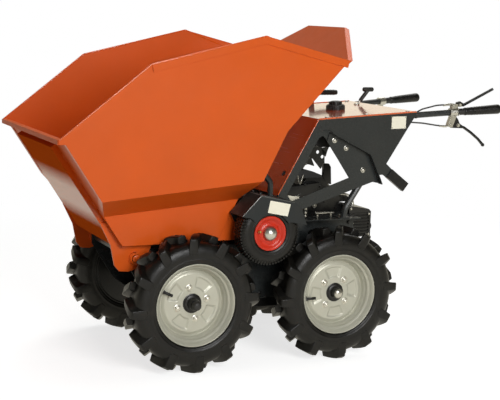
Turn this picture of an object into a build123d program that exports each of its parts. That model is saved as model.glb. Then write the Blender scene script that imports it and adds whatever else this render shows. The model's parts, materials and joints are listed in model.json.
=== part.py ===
"""Walk-behind site dumper with four driven wheels and a tipping skip.

Millimetres.  +X is forward, +Y is the machine's left, +Z is up.  The machine is drawn about the
ground point midway between its axles, and the whole is moved along X when it is written, so that
its origin is the middle of its footprint.
"""
from build123d import *
from math import acos, cos, hypot, pi, radians, sin, sqrt, tan
import os

# ---------------------------------------------------------------- driving dimensions
# Road wheels
WHEELBASE = 535.0        # front axle to rear axle
TYRE_Y = 311.5           # mid plane of a tyre from the machine's centre line
TYRE_R = 232.0           # axle centre to the flat tip of a lug
TYRE_W = 100.0           # overall width
LUG_DEPTH = 22.0         # lug height above the tread
LUG_COUNT = 12           # lugs on each side of the centre line
LUG_SKEW = 34.0          # sideways lean of a lug from its centre end to its shoulder end
LUG_TIP_W = 27.0         # width of a lug at its tip
LUG_DRAFT = 6.0          # growth of a lug on each side down to its foot
LUG_ROOT = 14.0          # how far a lug's foot goes into the carcass
LUG_OVERLAP = 7.0        # how far a lug reaches past the centre line
RIM_R = 139.0            # outside of the rim's flange
RIM_SEAT_R = 132.0       # where the bead sits
RIM_W = 88.0             # over the flanges
RIM_WALL = 4.0
DISC_SET = 20.0          # face of the wheel disc outboard of the mid plane
DISC_R = 104.0
HUB_R = 30.0
HUB_FACE = 46.0          # end of the hub outboard of the mid plane
HUB_BACK = 42.0          # end of the hub inboard of the mid plane
HUB_CAP_R = 17.0
STUD_CIRCLE_R = 54.0
NUT_R = 9.0              # wheel nut, over its corners
WHEEL_SIDES = 24         # flats that stand for a wheel's turned outline
DRIVE_SIDES = 18         # the same for a friction drive wheel
BAR_SIDES = 12           # flats that stand for a round bar
TUBE_SIDES = 10          # flats that stand for a bent tube
BEND_STEPS = 3           # short runs that stand for each bend

# Friction drive wheels, one above each pair of road wheels
DRIVE_R = 110.0
DRIVE_W = 70.0
DRIVE_Y = 309.0
DRIVE_RIM_R = 59.0
DRIVE_GAP = 5.0          # drive let off: gap to the lugs' corners
DRIVE_SHAFT_R = 15.0

# Skip
SKIP_W = 710.0           # over the side panels
SKIP_T = 3.0             # sheet
FLOOR_Z = 420.0          # underside of the floor
FLOOR_FRONT_X = 481.0
FLOOR_REAR_X = 148.0
FRONT_LEAN = 56.9        # front wall from the horizontal, degrees
REAR_LEAN = 63.0         # lower rear wall from the horizontal, degrees
REAR_KINK_Z = 800.0      # where the rear wall leans further back
REAR_TOP_LEAN = 46.6     # upper rear wall from the horizontal, degrees
FOLD_Z = 638.6           # lower fold of the side panels, level with the axles' mid point
FOLD_FALL = 5.0          # fall of that fold towards the front, degrees
BELLY_LEAN = 31.6        # sheet from that fold down to the tub, degrees
LIP_Z = 781.0            # top of the front wall
LIP_DEPTH = 17.0
LIP_DROP = 12.0
SIDE_PEAKS = ((437.0, 1016.0), (42.0, 1111.0))   # x, z of the two upper corners of a side
SIDE_REAR_Z = 1035.0     # rear top corner of a side
BOARD_TOP_Z = 1142.0     # top of the board above the rear wall
BOARD_TOP_W = 274.0
EDGE_FLANGE_W = 22.0     # inward flange on the front edge of a side
RIM_BAND_H = 25.0        # band along the top of the skip
RIM_BAND_T = 10.0        # across the rear board's top
SIDE_BAND_T = 3.0        # along the tops of the sides
CHANNEL_STAND = 20.0     # how far the front wall's stiffener channel stands out
CHANNEL_FOOT_Z = 425.0
CHANNEL_TOP_Z = 757.0
PIVOT_X = 430.0          # tipping hinge
PIVOT_Z = 372.0
PIVOT_R = 14.0
BRACKET_T = 6.0
BRACKET_GAP = 18.0       # room between a chassis side and a hinge plate

# Chassis
CHASSIS_W = 380.0
PLATE_T = 4.0
CHASSIS_LOW_Z = 200.0
CHASSIS_TOP_Z = 396.0
CHASSIS_REAR_X = -405.0
DECK_Z = 476.0           # top of the engine deck
AXLE_R = 25.0
AXLE_TUBE_W = 490.0      # over the axle tube
SPINDLE_R = 15.0
BELLY_PAN = (-170.0, 130.0, 168.0)   # rear x, front x, lowest z

# Console and handles
CONSOLE_W = 492.0
CONSOLE_FRONT = (-221.0, 829.0)      # x, z where the top meets the sloping front
CONSOLE_REAR = (-614.0, 852.0)
CONSOLE_FOOT = (-70.0, 566.0)        # lower end of the sloping front
CONSOLE_FOOT_REAR_X = -185.0
ARCH_TOP = (-236.0, 771.0)
ARCH_R = 14.0
ARCH_REAR = (-348.0, 620.0)
HEEL = (-483.0, 628.0)               # rear lower corner of a console side
HEEL_HOLES = ((-481.0, 652.0), (-502.0, 633.0))     # x, z, in the right side only
HEEL_HOLE_R = 7.0
SLEEVE_T = 16.0                      # rubber sleeve on the left heel's tab
ARM_T = 4.0                          # brace from a leg's foot back to the console's heel
ARM_FRONT_X = -86.0
ARM_FRONT_Z = (492.0, 534.0)         # its lower and upper edge there
ARM_FLANGE = 22.0
GUARD_OUT_Y = 352.0
GUARD_T = 3.0
GUARD_BACK_T = 6.0                   # its back plate, which also carries the shaft bearing
GUARD_FRONT = (109.0, 519.0)         # lower front corner of a drive guard
GUARD_TOP = (42.0, 586.0)
GUARD_FALL = 11.5                    # fall of a guard's top towards the rear, degrees
GUARD_LEN = 126.0
GUARD_HUB_R = 71.0                   # cut-out round the drive wheel's hub

ENGINE_X = (-398.0, -240.0)          # rear and front of the engine
ENGINE_W = 190.0
ENGINE_H = 130.0                     # top of its crankcase above the deck
CLEANER_H = 31.0                     # air cleaner above the crankcase
RECOIL_R = 62.0                      # starter cover on the engine's right
GEARBOX_X = (-105.0, 70.0)
CHAIN_CASE_T = 27.0
MUFFLER_X = (-500.0, -408.0)
MUFFLER_Y = (40.0, 150.0)
MUFFLER_Z = (388.0, 500.0)
LOUVRE_PITCH = 11.5
TANK_LOW_Z = 722.0
TANK_W = 340.0
TANK_REAR_X = -560.0
FILLER_X = -418.0
FILLER_R = 34.0                      # its cap

TUBE_R = 11.0                        # handle tube
CABLE_R = 2.8
LEVER_R = 5.2
DIRECTION_LEVER = (-566.0, -100.0)   # x, y where it comes through the console's top
TIPPING_LEVER = (-445.0, 884.0)      # x, z of the front end of its grip
CLAMP_SHARE = 0.45                   # place of a clamp along the straight part of its handle
HANDLE_START_X = -470.0
HANDLE_BEND_X = -612.0
GRIP_END = (-949.0, 277.0, 862.0)
GRIP_LEN = 143.0
GRIP_R = 17.0
REST_TUBE_R = 10.0

# Clearances
SEAT = 0.3               # round parts and pads that only touch
RUN = 0.4                # a wheel on its spindle, a bracket on its pivot
GAP = 6.0                # room between the skip's tub and the console and guards

# ---------------------------------------------------------------- worked out
AXLE_Z = TYRE_R
AXLE_X = {"front": WHEELBASE / 2, "rear": -WHEELBASE / 2}
LUG_CORNER_R = hypot(TYRE_R, (LUG_SKEW + LUG_TIP_W) / 2)
DRIVE_Z = AXLE_Z + sqrt((DRIVE_R + LUG_CORNER_R + DRIVE_GAP) ** 2 - (WHEELBASE / 2) ** 2)
CONSOLE_Y = CONSOLE_W / 2
CHASSIS_Y = CHASSIS_W / 2
HANDLE_Y = CONSOLE_Y - PLATE_T - TUBE_R - SEAT
HANDLE_Z = CONSOLE_REAR[1] - SKIP_T - TUBE_R - SEAT
SIDE_Y = SKIP_W / 2
CHANNEL_W = CHASSIS_W + 2 * BRACKET_GAP
TUB_Y = CONSOLE_Y - GAP
PARTS = {}


def rise(angle):
    """Slope of a line that stands at this many degrees to the horizontal."""
    return tan(radians(angle))


# ---------------------------------------------------------------- shape helpers
def slab(outline, low, high):
    """Plate with an (x, z) outline, between two places across the machine."""
    wire = Polyline(*[(x, low, z) for x, z in outline], close=True)
    return extrude(make_face(wire), amount=high - low, dir=(0, 1, 0))


def along(outline, low, high, fall=0.0):
    """Bar with a (y, z) outline, between two places along the machine, falling forward."""
    wire = Polyline(*[(low, y, z - low * rise(fall)) for y, z in outline], close=True)
    step = Vector(1, 0, -rise(fall))
    return extrude(make_face(wire), amount=(high - low) * step.length, dir=step)


def beside(path, gap):
    """The path moved sideways to its left, with mitred corners."""
    spots = [complex(*spot) for spot in path]
    turns = [(b - a) / abs(b - a) * 1j for a, b in zip(spots, spots[1:])]
    sides = list(zip([turns[0]] + turns, turns + [turns[-1]]))
    moved = [p + gap * (a + b) / (1 + (a * b.conjugate()).real) for p, (a, b) in zip(spots, sides)]
    return [(p.real, p.imag) for p in moved]


def strip(path, gap):
    """Outline of a sheet whose one face follows the path."""
    return list(path) + beside(path, gap)[::-1]


def block(x, y, z):
    """Box given by its (low, high) along each axis."""
    size = [high - low for low, high in (x, y, z)]
    middle = [(high + low) / 2 for low, high in (x, y, z)]
    return Pos(*middle) * Box(*size)


def rod(radius, start, end, sides=BAR_SIDES):
    """Round bar between two points, as flats whose corners have this radius."""
    axis = Vector(*end) - Vector(*start)
    return extrude(Plane(origin=start, z_dir=axis) * RegularPolygon(radius, sides), amount=axis.length)


def round_rod(radius, start, end):
    """Truly round bar between two points, for what other parts clamp on."""
    axis = Vector(*end) - Vector(*start)
    return extrude(Plane(origin=start, z_dir=axis) * Circle(radius), amount=axis.length)


def clear(radius, sides=BAR_SIDES):
    """Corner radius of a hole whose flats stay outside this radius."""
    return radius / cos(pi / sides)


def facets(rings):
    """Closed body whose flat faces join each ring of corners to the next."""
    corners = [rings[0], rings[-1]]
    for low, high in zip(rings, rings[1:]):
        corners += zip(low, low[1:] + low[:1], high[1:] + high[:1], high)
    return Solid(Shell([make_face(Polyline(*face, close=True)) for face in corners]))


def frusta(table, sides=WHEEL_SIDES):
    """Many-sided turned body about the Y axis through a short table of (y, radius)."""
    turns = [2 * pi * (count + 0.5) / sides for count in range(sides)]
    return facets([[(radius * sin(turn), y, radius * cos(turn)) for turn in turns] for y, radius in table])


def bent_path(points, radius):
    """The path with each corner rounded to this radius, as short straight runs."""
    spots = [Vector(*point) for point in points]
    path = [spots[0]]
    for before, corner, after in zip(spots, spots[1:], spots[2:]):
        back, ahead = (before - corner).normalized(), (after - corner).normalized()
        half = acos(back.dot(ahead)) / 2
        centre = corner + (back + ahead).normalized() * (radius / sin(half))
        start, end = [corner + way * (radius / tan(half)) - centre for way in (back, ahead)]
        turn = pi - 2 * half
        for share in [step / BEND_STEPS for step in range(BEND_STEPS + 1)]:
            path.append(centre + (start * sin((1 - share) * turn) + end * sin(share * turn)) / sin(turn))
    return path + [spots[-1]]


def bent_tube(points, radius, bend, sides=TUBE_SIDES):
    """Round tube along straight runs joined by bends, cut on the mitre between its short runs."""
    path = bent_path(points, bend)
    runs = [(end - start).normalized() for start, end in zip(path, path[1:])]
    across = Plane(origin=path[0], z_dir=runs[0])
    turns = [2 * pi * (count + 0.5) / sides for count in range(sides)]
    ring = [path[0] + (across.x_dir * cos(turn) + across.y_dir * sin(turn)) * radius for turn in turns]
    rings = [ring]
    for place, run, after in zip(path[1:], runs, runs[1:] + runs[-1:]):
        mitre = run + after
        ring = [spot + run * ((place - spot).dot(mitre) / run.dot(mitre)) for spot in ring]
        rings.append(ring)
    return facets(rings)


def ball(place, radius, sides=8):
    """Round knob at a place."""
    lifts = [radians(lift) for lift in (-65, -25, 25, 65)]
    return Pos(*place) * frusta([(radius * sin(lift), radius * cos(lift)) for lift in lifts], sides)


def other_side(shape):
    """Mirror image on the machine's right."""
    return mirror(shape, about=Plane.XZ)


def add(name, *shapes):
    """Name a part of the machine; the shapes given together are its separate solids."""
    PARTS[name] = [solid for shape in shapes for solid in shape.solids()]


def add_pair(name, *shapes):
    """A part and its mirror image."""
    add(name + "_left", *shapes)
    add(name + "_right", *[other_side(shape) for shape in shapes])


def add_both(name, *shapes):
    """A part whose left and right pieces share a name."""
    add(name, *shapes, *[other_side(shape) for shape in shapes])


# ---------------------------------------------------------------- road wheels
def lug(side):
    """One lug at the top of the wheel, leaning from the centre line to its shoulder."""
    foot_r = TYRE_R - LUG_DEPTH - LUG_ROOT
    slope = LUG_SKEW / (TYRE_W / 2 + LUG_OVERLAP)
    rings = []
    for radius, grow in ((TYRE_R, 0), (foot_r, LUG_DRAFT)):
        half = LUG_TIP_W / 2 + grow
        inner, outer = -LUG_OVERLAP - grow, TYRE_W / 2
        leans = [LUG_SKEW / 2 - slope * (outer - y) for y in (inner, outer)]
        rings.append([(leans[0] - half, side * inner, radius), (leans[1] - half, side * outer, radius),
                      (leans[1] + half, side * outer, radius), (leans[0] + half, side * inner, radius)])
    return facets(rings)


def rim_blank():
    """Solid outline of a rim, which the tyre's beads sit on."""
    half = RIM_W / 2
    flange = half - RIM_WALL
    return frusta(((-half, RIM_R), (-flange, RIM_R), (-flange + 3, RIM_SEAT_R),
                   (flange - 3, RIM_SEAT_R), (flange, RIM_R), (half, RIM_R)))


def tyre():
    """Lugged tyre about the Y axis, outboard towards +Y."""
    tread_r = TYRE_R - LUG_DEPTH
    half = TYRE_W / 2
    rings = ((RIM_W / 2 - RIM_WALL, RIM_R + 1), (half, RIM_R + 30), (half - 8, tread_r))
    carcass = frusta([(-y, r) for y, r in rings] + [(y, r) for y, r in rings[::-1]])
    pitch = 360 / LUG_COUNT
    lugs = [Rot(0, 180 + pitch * (count + shift), 0) * lug(side)
            for side, shift in ((1, 0), (-1, 0.5)) for count in range(LUG_COUNT)]
    return (carcass - rim_blank()) + lugs


def rim():
    """Pressed wheel with its hub about the Y axis, outboard towards +Y."""
    half = RIM_W / 2
    well_r = RIM_SEAT_R - RIM_WALL
    dish = frusta(((DISC_SET, DISC_R), (DISC_SET + 11, well_r - 14), (half - 6, well_r - 3),
                   (half + 1, well_r)))
    back = frusta(((-half - 1, well_r), (DISC_SET - 14, well_r - 4), (DISC_SET - 5, DISC_R)))
    hub = rod(HUB_R, (0, -HUB_BACK, 0), (0, HUB_FACE, 0))
    cap = rod(HUB_CAP_R, (0, HUB_FACE, 0), (0, HUB_FACE + 12, 0), 12)
    bore = rod(clear(SPINDLE_R + RUN), (0, -HUB_BACK, 0), (0, HUB_FACE - 10, 0))
    nut = rod(NUT_R, (0, DISC_SET, 0), (0, DISC_SET + 9, 0), 6)
    nuts = [Rot(0, 45 + 90 * count, 0) * Pos(STUD_CIRCLE_R, 0, 0) * nut for count in range(4)]
    return rim_blank() - dish - back + hub + cap + nuts - bore


def road_wheels():
    rubber, metal = tyre(), rim()
    for end, x in AXLE_X.items():
        place = Pos(x, TYRE_Y, AXLE_Z)
        add_pair(f"tyre_{end}", place * rubber)
        add_pair(f"rim_{end}", place * metal)


def drive_wheels():
    """Small tyres that press on the road tyres, on a shaft across the machine."""
    half = DRIVE_W / 2
    place = Pos(0, DRIVE_Y, DRIVE_Z)
    rings = ((half - 8, DRIVE_RIM_R), (half, DRIVE_RIM_R + 20), (half - 9, DRIVE_R - 3),
             (half - 20, DRIVE_R))
    rubber = frusta([(-y, r) for y, r in rings] + [(y, r) for y, r in rings[::-1]], DRIVE_SIDES)
    seat_r = DRIVE_RIM_R - 6
    rubber -= frusta(((-half, seat_r), (half, seat_r)), DRIVE_SIDES)
    metal = frusta(((-half + 9, seat_r), (half - 9, seat_r), (half - 3, DRIVE_RIM_R - 1),
                    (half, DRIVE_RIM_R - 1)), DRIVE_SIDES)
    metal -= frusta(((half - 10, 34), (half - 4, DRIVE_RIM_R - 8), (half + 1, DRIVE_RIM_R - 5)),
                    DRIVE_SIDES)
    metal += rod(24, (0, -half, 0), (0, half - 2, 0))
    metal += frusta(((half - 2, 17), (half + 6, 15), (half + 12, 9), (half + 15, 2)), 12)
    metal -= rod(clear(DRIVE_SHAFT_R + RUN), (0, -half, 0), (0, half - 14, 0))
    add_pair("drive_tyre", place * (rubber - metal))
    add_pair("drive_rim", place * metal)


# ---------------------------------------------------------------- skip
def front_x(z):
    """Outer face of the front wall at a height."""
    return FLOOR_FRONT_X + (z - FLOOR_Z) / rise(FRONT_LEAN)


def rear_x(z):
    """Outer face of the rear wall at a height."""
    if z <= REAR_KINK_Z:
        return FLOOR_REAR_X - (z - FLOOR_Z) / rise(REAR_LEAN)
    return rear_x(REAR_KINK_Z) - (z - REAR_KINK_Z) / rise(REAR_TOP_LEAN)


def skip_section(inset):
    """Cross-section of the skip, open above and below, its faces moved in by the inset."""
    lift = inset / cos(radians(BELLY_LEAN))
    fold = FOLD_Z - inset * rise(BELLY_LEAN) + lift
    tub = FOLD_Z - (SIDE_Y - TUB_Y + inset) * rise(BELLY_LEAN) + lift
    half = [(SIDE_Y - inset, 1400), (SIDE_Y - inset, fold), (TUB_Y - inset, tub), (TUB_Y - inset, 100)]
    return along(half + [(-y, z) for y, z in half[::-1]], -600, 900, FOLD_FALL)


def side_outline():
    """Side view of a skip side, with the tab that covers the end of the front lip."""
    tab_z = LIP_Z - LIP_DROP
    stand = SKIP_T / sin(radians(FRONT_LEAN))
    return [(FLOOR_FRONT_X + stand, FLOOR_Z), (front_x(tab_z) + stand, tab_z),
            (front_x(LIP_Z) + LIP_DEPTH, tab_z), (front_x(LIP_Z) + LIP_DEPTH, LIP_Z), *SIDE_PEAKS,
            (rear_x(SIDE_REAR_Z), SIDE_REAR_Z), (rear_x(REAR_KINK_Z), REAR_KINK_Z),
            (FLOOR_REAR_X, FLOOR_Z)]


def skip_sides():
    """Each side is one folded sheet: panel, sloping belly, tub wall and front edge flange."""
    left_half = block((-900, 900), (0, 500), (FLOOR_Z, 1500))
    shell = skip_section(0) - skip_section(SKIP_T)
    sheet = shell & slab(side_outline(), -500, 500) & left_half
    front = [(FLOOR_FRONT_X, FLOOR_Z), (front_x(LIP_Z - LIP_DROP), LIP_Z - LIP_DROP)]
    flange = (skip_section(0) - skip_section(EDGE_FLANGE_W)) & left_half
    add_pair("skip_side", sheet + (flange & slab(strip(front, -SKIP_T), -500, 500)))


def skip_walls():
    """Front wall with its folded lip, rear wall with its board and band, and the floor between them."""
    inside = skip_section(SKIP_T)
    half = SIDE_Y - SKIP_T
    below = FLOOR_Z - 10
    above = block((-900, 900), (-half, half), (FLOOR_Z, 1400))
    tip_x = front_x(LIP_Z) + LIP_DEPTH
    front = [(tip_x, LIP_Z - LIP_DROP), (tip_x, LIP_Z), (front_x(LIP_Z), LIP_Z), (front_x(below), below)]
    add("skip_front_wall", inside & slab(strip(front, -SKIP_T)[::-1], -half, half) & above)
    rear = [(rear_x(z), z) for z in (below, REAR_KINK_Z, BOARD_TOP_Z)]
    board = [(half, 0), (half, SIDE_REAR_Z), (BOARD_TOP_W / 2, BOARD_TOP_Z)]
    shape = along(board + [(-y, z) for y, z in board[::-1]], -900, 900)
    wall = inside & slab(strip(rear, -SKIP_T), -half, half) & shape & above
    # The band lies on the outside of the board and follows its top edges.
    edge = [(-half, SIDE_REAR_Z), (-BOARD_TOP_W / 2, BOARD_TOP_Z), (BOARD_TOP_W / 2, BOARD_TOP_Z),
            (half, SIDE_REAR_Z)]
    band = along(strip(edge, -RIM_BAND_H), -900, 900)
    add("skip_rear_wall", wall + (band & slab(strip(rear[1:], RIM_BAND_T), -half, half)))
    levels = (FLOOR_Z, FLOOR_Z + SKIP_T)
    fronts = [(front_x(z) - SKIP_T / sin(radians(FRONT_LEAN)), z) for z in levels]
    rears = [(rear_x(z) + SKIP_T / sin(radians(REAR_LEAN)), z) for z in levels]
    add("skip_floor", inside & slab(rears + fronts[::-1], -half, half))


def skip_trim():
    """Bands along the tops of the sides, and the channel that stiffens the front wall."""
    top = [*SIDE_PEAKS, (rear_x(SIDE_REAR_Z), SIDE_REAR_Z)]
    add_both("skip_rims", slab(strip(top, RIM_BAND_H), SIDE_Y, SIDE_Y + SIDE_BAND_T))
    face = [(front_x(z), z) for z in (CHANNEL_FOOT_Z, CHANNEL_TOP_Z)]
    outer = slab(strip(face, -CHANNEL_STAND), -CHANNEL_W / 2, CHANNEL_W / 2)
    hollow_face = [(front_x(z), z) for z in (CHANNEL_FOOT_Z - 60, CHANNEL_TOP_Z - SKIP_T)]
    hollow = slab(strip(hollow_face, SKIP_T - CHANNEL_STAND), SKIP_T - CHANNEL_W / 2, CHANNEL_W / 2 - SKIP_T)
    add("skip_front_channel", outer - hollow)


def skip_brackets():
    """Hinge plates under the front of the tub, in line with the channel's sides."""
    high = 495.0
    stand = CHANNEL_STAND / sin(radians(FRONT_LEAN))
    outline = [(front_x(high), high), (front_x(high) + stand, high), (front_x(FLOOR_Z) + stand + 12, FLOOR_Z),
               (PIVOT_X + 73, PIVOT_Z - 20), (PIVOT_X + 56, PIVOT_Z - 40), (PIVOT_X + 24, PIVOT_Z - 43),
               (PIVOT_X - 28, PIVOT_Z - 26), (PIVOT_X - 58, FLOOR_Z), (FLOOR_FRONT_X, FLOOR_Z)]
    outer = CHANNEL_W / 2
    plate = slab(outline, outer, outer + BRACKET_T)
    boss = rod(PIVOT_R + 10, (PIVOT_X, outer - 8, PIVOT_Z), (PIVOT_X, outer + BRACKET_T + 6, PIVOT_Z))
    hole = rod(clear(PIVOT_R + RUN), (PIVOT_X, 0, PIVOT_Z), (PIVOT_X, outer + 60, PIVOT_Z))
    add_both("skip_brackets", plate + boss - hole)


# ---------------------------------------------------------------- chassis
def chassis():
    """Welded box: two side plates, a floor, and cross members that carry the deck and drive."""
    ear = 22.0
    side = [(CHASSIS_REAR_X, 300), (CHASSIS_REAR_X, DECK_Z - PLATE_T), (-120, DECK_Z - PLATE_T),
            (-60, CHASSIS_TOP_Z), (PIVOT_X - ear, CHASSIS_TOP_Z), (PIVOT_X + ear, PIVOT_Z + ear),
            (PIVOT_X + ear, PIVOT_Z - ear), (PIVOT_X - 60, CHASSIS_LOW_Z + 20),
            (PIVOT_X - 85, CHASSIS_LOW_Z), (CHASSIS_REAR_X + 60, CHASSIS_LOW_Z)]
    low, high = CHASSIS_Y - PLATE_T, CHASSIS_Y
    body = slab(side, low, high) + slab(side, -high, -low)
    body += block((CHASSIS_REAR_X + 60, PIVOT_X - 85), (-low, low), (CHASSIS_LOW_Z, CHASSIS_LOW_Z + PLATE_T))
    body += block((150, 156), (-low, low), (CHASSIS_LOW_Z, CHASSIS_TOP_Z))
    body += block((-160, -110), (-CONSOLE_Y + PLATE_T, CONSOLE_Y - PLATE_T), (400, 440))
    body += block((GEARBOX_X[0], GEARBOX_X[1]), (-low, low), (CHASSIS_TOP_Z - 8, CHASSIS_TOP_Z))
    for x in AXLE_X.values():
        body -= rod(AXLE_R, (x, -300, AXLE_Z), (x, 300, AXLE_Z))
    body -= rod(PIVOT_R, (PIVOT_X, -300, PIVOT_Z), (PIVOT_X, 300, PIVOT_Z))
    add("chassis_frame", body)
    add("engine_deck", block((CHASSIS_REAR_X, -110), (-CONSOLE_Y + PLATE_T, CONSOLE_Y - PLATE_T),
                             (DECK_Z - PLATE_T, DECK_Z)))
    rear, front, bottom = BELLY_PAN
    add("belly_pan", block((rear, front), (-CHASSIS_Y, CHASSIS_Y), (bottom, CHASSIS_LOW_Z)))
    reach = CHANNEL_W / 2 + BRACKET_T + 14
    add("tip_pivot", rod(PIVOT_R, (PIVOT_X, -reach, PIVOT_Z), (PIVOT_X, reach, PIVOT_Z)))
    pads = [block((190, 230), (y - 20, y + 20), (CHASSIS_TOP_Z, FLOOR_Z - SEAT)) for y in (-172, 172)]
    add("skip_pads", *pads)


def axles():
    """Axle tubes through the chassis, each with a spindle for its two wheels."""
    for end, x in AXLE_X.items():
        half = AXLE_TUBE_W / 2
        tip = TYRE_Y + HUB_FACE - 12
        add(f"{end}_axle", rod(AXLE_R, (x, -half, AXLE_Z), (x, half, AXLE_Z))
            + rod(SPINDLE_R, (x, -tip, AXLE_Z), (x, tip, AXLE_Z)))


def transmission():
    """Gearbox that turns the drive shaft, with a chain case back to the engine's left end."""
    rear, front = GEARBOX_X
    top = DRIVE_Z + 90
    side = [(rear, CHASSIS_TOP_Z), (front, CHASSIS_TOP_Z), (front, DRIVE_Z + 44), (front - 40, top),
            (rear, top)]
    half = ENGINE_W / 2
    case = slab(side, -half, half)
    tip = DRIVE_Y + DRIVE_W / 2 - 16
    shaft = rod(DRIVE_SHAFT_R, (0, -tip, DRIVE_Z), (0, tip, DRIVE_Z))
    end = ENGINE_X[1] - 90
    chain = [(rear + 45, DECK_Z + 22), (rear + 45, DECK_Z + 66), (rear + 20, DECK_Z + 92),
             (end + 30, DECK_Z + 112), (end, DECK_Z + 90), (end, DECK_Z + 30), (end + 24, DECK_Z + 10)]
    add("gearbox", case + shaft + slab(chain, half + SEAT, half + CHAIN_CASE_T)
        + block((rear, rear + 40), (half, half + CHAIN_CASE_T / 2), (DECK_Z + 26, top)))


def guard_z(x):
    """Top of a drive guard's sloping top at a place along it."""
    return GUARD_TOP[1] - (GUARD_TOP[0] - x) * rise(GUARD_FALL)


def guards():
    """Folded guards over the drive wheels, cut away round the hubs."""
    back_x = GUARD_TOP[0] - GUARD_LEN
    corner = (back_x - 22, guard_z(back_x) - 15)
    tail = (back_x - 48, guard_z(back_x) - 80)
    path = [GUARD_FRONT, GUARD_TOP, (back_x, guard_z(back_x)), corner, tail]
    fall = rise(GUARD_FALL)
    face = slab(path + [(tail[0] + 62, tail[1] + 62 * fall), (0, DRIVE_Z),
                        (GUARD_FRONT[0] - 30, GUARD_FRONT[1] - 30 * fall)],
                GUARD_OUT_Y - GUARD_T, GUARD_OUT_Y)
    face -= rod(GUARD_HUB_R, (0, 0, DRIVE_Z), (0, 400, DRIVE_Z))
    cover = slab(strip(path, GUARD_T), CONSOLE_Y + GUARD_BACK_T, GUARD_OUT_Y - GUARD_T)
    low = CHASSIS_TOP_Z + 4
    back = slab(path[:3] + [(back_x, low), (back_x + 130, low)], CONSOLE_Y, CONSOLE_Y + GUARD_BACK_T)
    bearing_r = DRIVE_SHAFT_R + 12
    add_pair("drive_guard", face + cover + back - rod(bearing_r, (0, 0, DRIVE_Z), (0, 300, DRIVE_Z)))
    hub = rod(bearing_r, (0, CONSOLE_Y - 14, DRIVE_Z), (0, CONSOLE_Y + 18, DRIVE_Z))
    add_both("drive_bearings", hub - rod(DRIVE_SHAFT_R, (0, 0, DRIVE_Z), (0, 400, DRIVE_Z)))


# ---------------------------------------------------------------- console
def console():
    """Side plates with an open arch, under one folded cover."""
    (fx, fz), (rx, rz), (ex, ez) = CONSOLE_FRONT, CONSOLE_REAR, CONSOLE_FOOT
    (ax, az), (bx, bz), (hx, hz) = ARCH_TOP, ARCH_REAR, HEEL
    foot_x = CONSOLE_FOOT_REAR_X
    outline = [(fx, fz), (ex, ez), (ex + 10, ez - 20), (ex + 10, 440), (foot_x, 440), (foot_x + 18, 518),
               (ex - 46, ez - 12), (ex - 36, ez + 6), (ax + ARCH_R, az - 8), (ax, az), (ax - ARCH_R, az - 12),
               (bx, bz), (hx, hz), (hx - 15, hz - 9), (hx - 37, hz + 19), (hx - 14, hz + 39),
               (rx + 11, rz - 24), (rx, rz)]
    low = CONSOLE_Y - PLATE_T
    ends = [(x, cover_z(x)) for x in (fx + 40, rx - 40)]
    top = slab(strip(ends, SKIP_T), -CONSOLE_Y - 5, CONSOLE_Y + 5)
    side = slab(outline, low, CONSOLE_Y) - top
    add("console_side_left", side)
    # The right side's heel has two round holes and a bare tab.
    tab = slab([(hx + 28, hz + 4), (hx - 13, hz - 43), (hx - 30, hz - 21), (hx - 29, hz + 9)], low, CONSOLE_Y)
    holes = [rod(HEEL_HOLE_R, (x, low, z), (x, CONSOLE_Y, z)) for x, z in HEEL_HOLES]
    add("console_side_right", other_side(side + tab - holes))
    folded = slab(strip([(ex, ez), (fx, fz), (rx, rz)], SKIP_T), -low, low)
    lid = slab(strip([(fx, fz), (rx, rz)], SKIP_T), -CONSOLE_Y, CONSOLE_Y)
    add("console_cover", folded + lid)
    reach = HANDLE_Y - TUBE_R - 3
    add("console_back", slab(back_path(0) + back_path(SKIP_T)[::-1], -reach, reach) - top)
    # Rubber sleeve on the tab that sticks out of the left side's heel.
    sleeve = [(hx - 15, hz - 9), (hx - 85, hz - 62), (hx - 107, hz - 34), (hx - 37, hz + 19)]
    middle = CONSOLE_Y - PLATE_T / 2
    add("heel_sleeves", slab(sleeve, middle - SLEEVE_T / 2, middle + SLEEVE_T / 2))


def back_path(inset):
    """Face of the console's back from its top down, as (x, z), moved in by the inset."""
    (rx, rz), (hx, hz) = CONSOLE_REAR, HEEL
    return beside([(rx + 3, rz - 5), (rx + 11, rz - 24), (hx - 38, hz + 74)], inset)


def arms():
    """Flanged braces on the outside of the console's sides, from the leg's foot to the heel."""
    low, high = ARM_FRONT_Z
    edge = [(-262, 784), (-419, 706), (-451, 640), (-470, 598)]
    inner = [(-252, 752), (-262, 738), (-346, 622), (ARM_FRONT_X, high)]
    outline = [(ARM_FRONT_X, low), (-440, 604)] + edge[::-1] + inner
    plate = slab(outline, CONSOLE_Y, CONSOLE_Y + ARM_T)
    flange = slab(strip(edge, SKIP_T), CONSOLE_Y, CONSOLE_Y + ARM_T + ARM_FLANGE)
    add_both("brace_arms", plate + flange)


def cover_z(x):
    """Top of the console at a place along it."""
    (fx, fz), (rx, rz) = CONSOLE_FRONT, CONSOLE_REAR
    return fz + (fx - x) * (rz - fz) / (fx - rx)


def handle_point(share):
    """Point on the straight, splayed part of the left handle: 0 at its bend, 1 at its end."""
    start, end = Vector(HANDLE_BEND_X, HANDLE_Y, HANDLE_Z), Vector(*GRIP_END)
    return start + (end - start) * share


def handles():
    start = (HANDLE_START_X, HANDLE_Y, HANDLE_Z - cover_z(HANDLE_BEND_X) + cover_z(HANDLE_START_X))
    run = handle_point(1) - handle_point(0)
    inner_end = tuple(handle_point(1 - 8 / run.length))
    tube = bent_tube([start, tuple(handle_point(0)), inner_end], TUBE_R, 120)
    grip = round_rod(GRIP_R, tuple(handle_point(1 - GRIP_LEN / run.length)), GRIP_END)
    add_both("handle_tubes", tube)
    add_both("grips", grip - tube)


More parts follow.
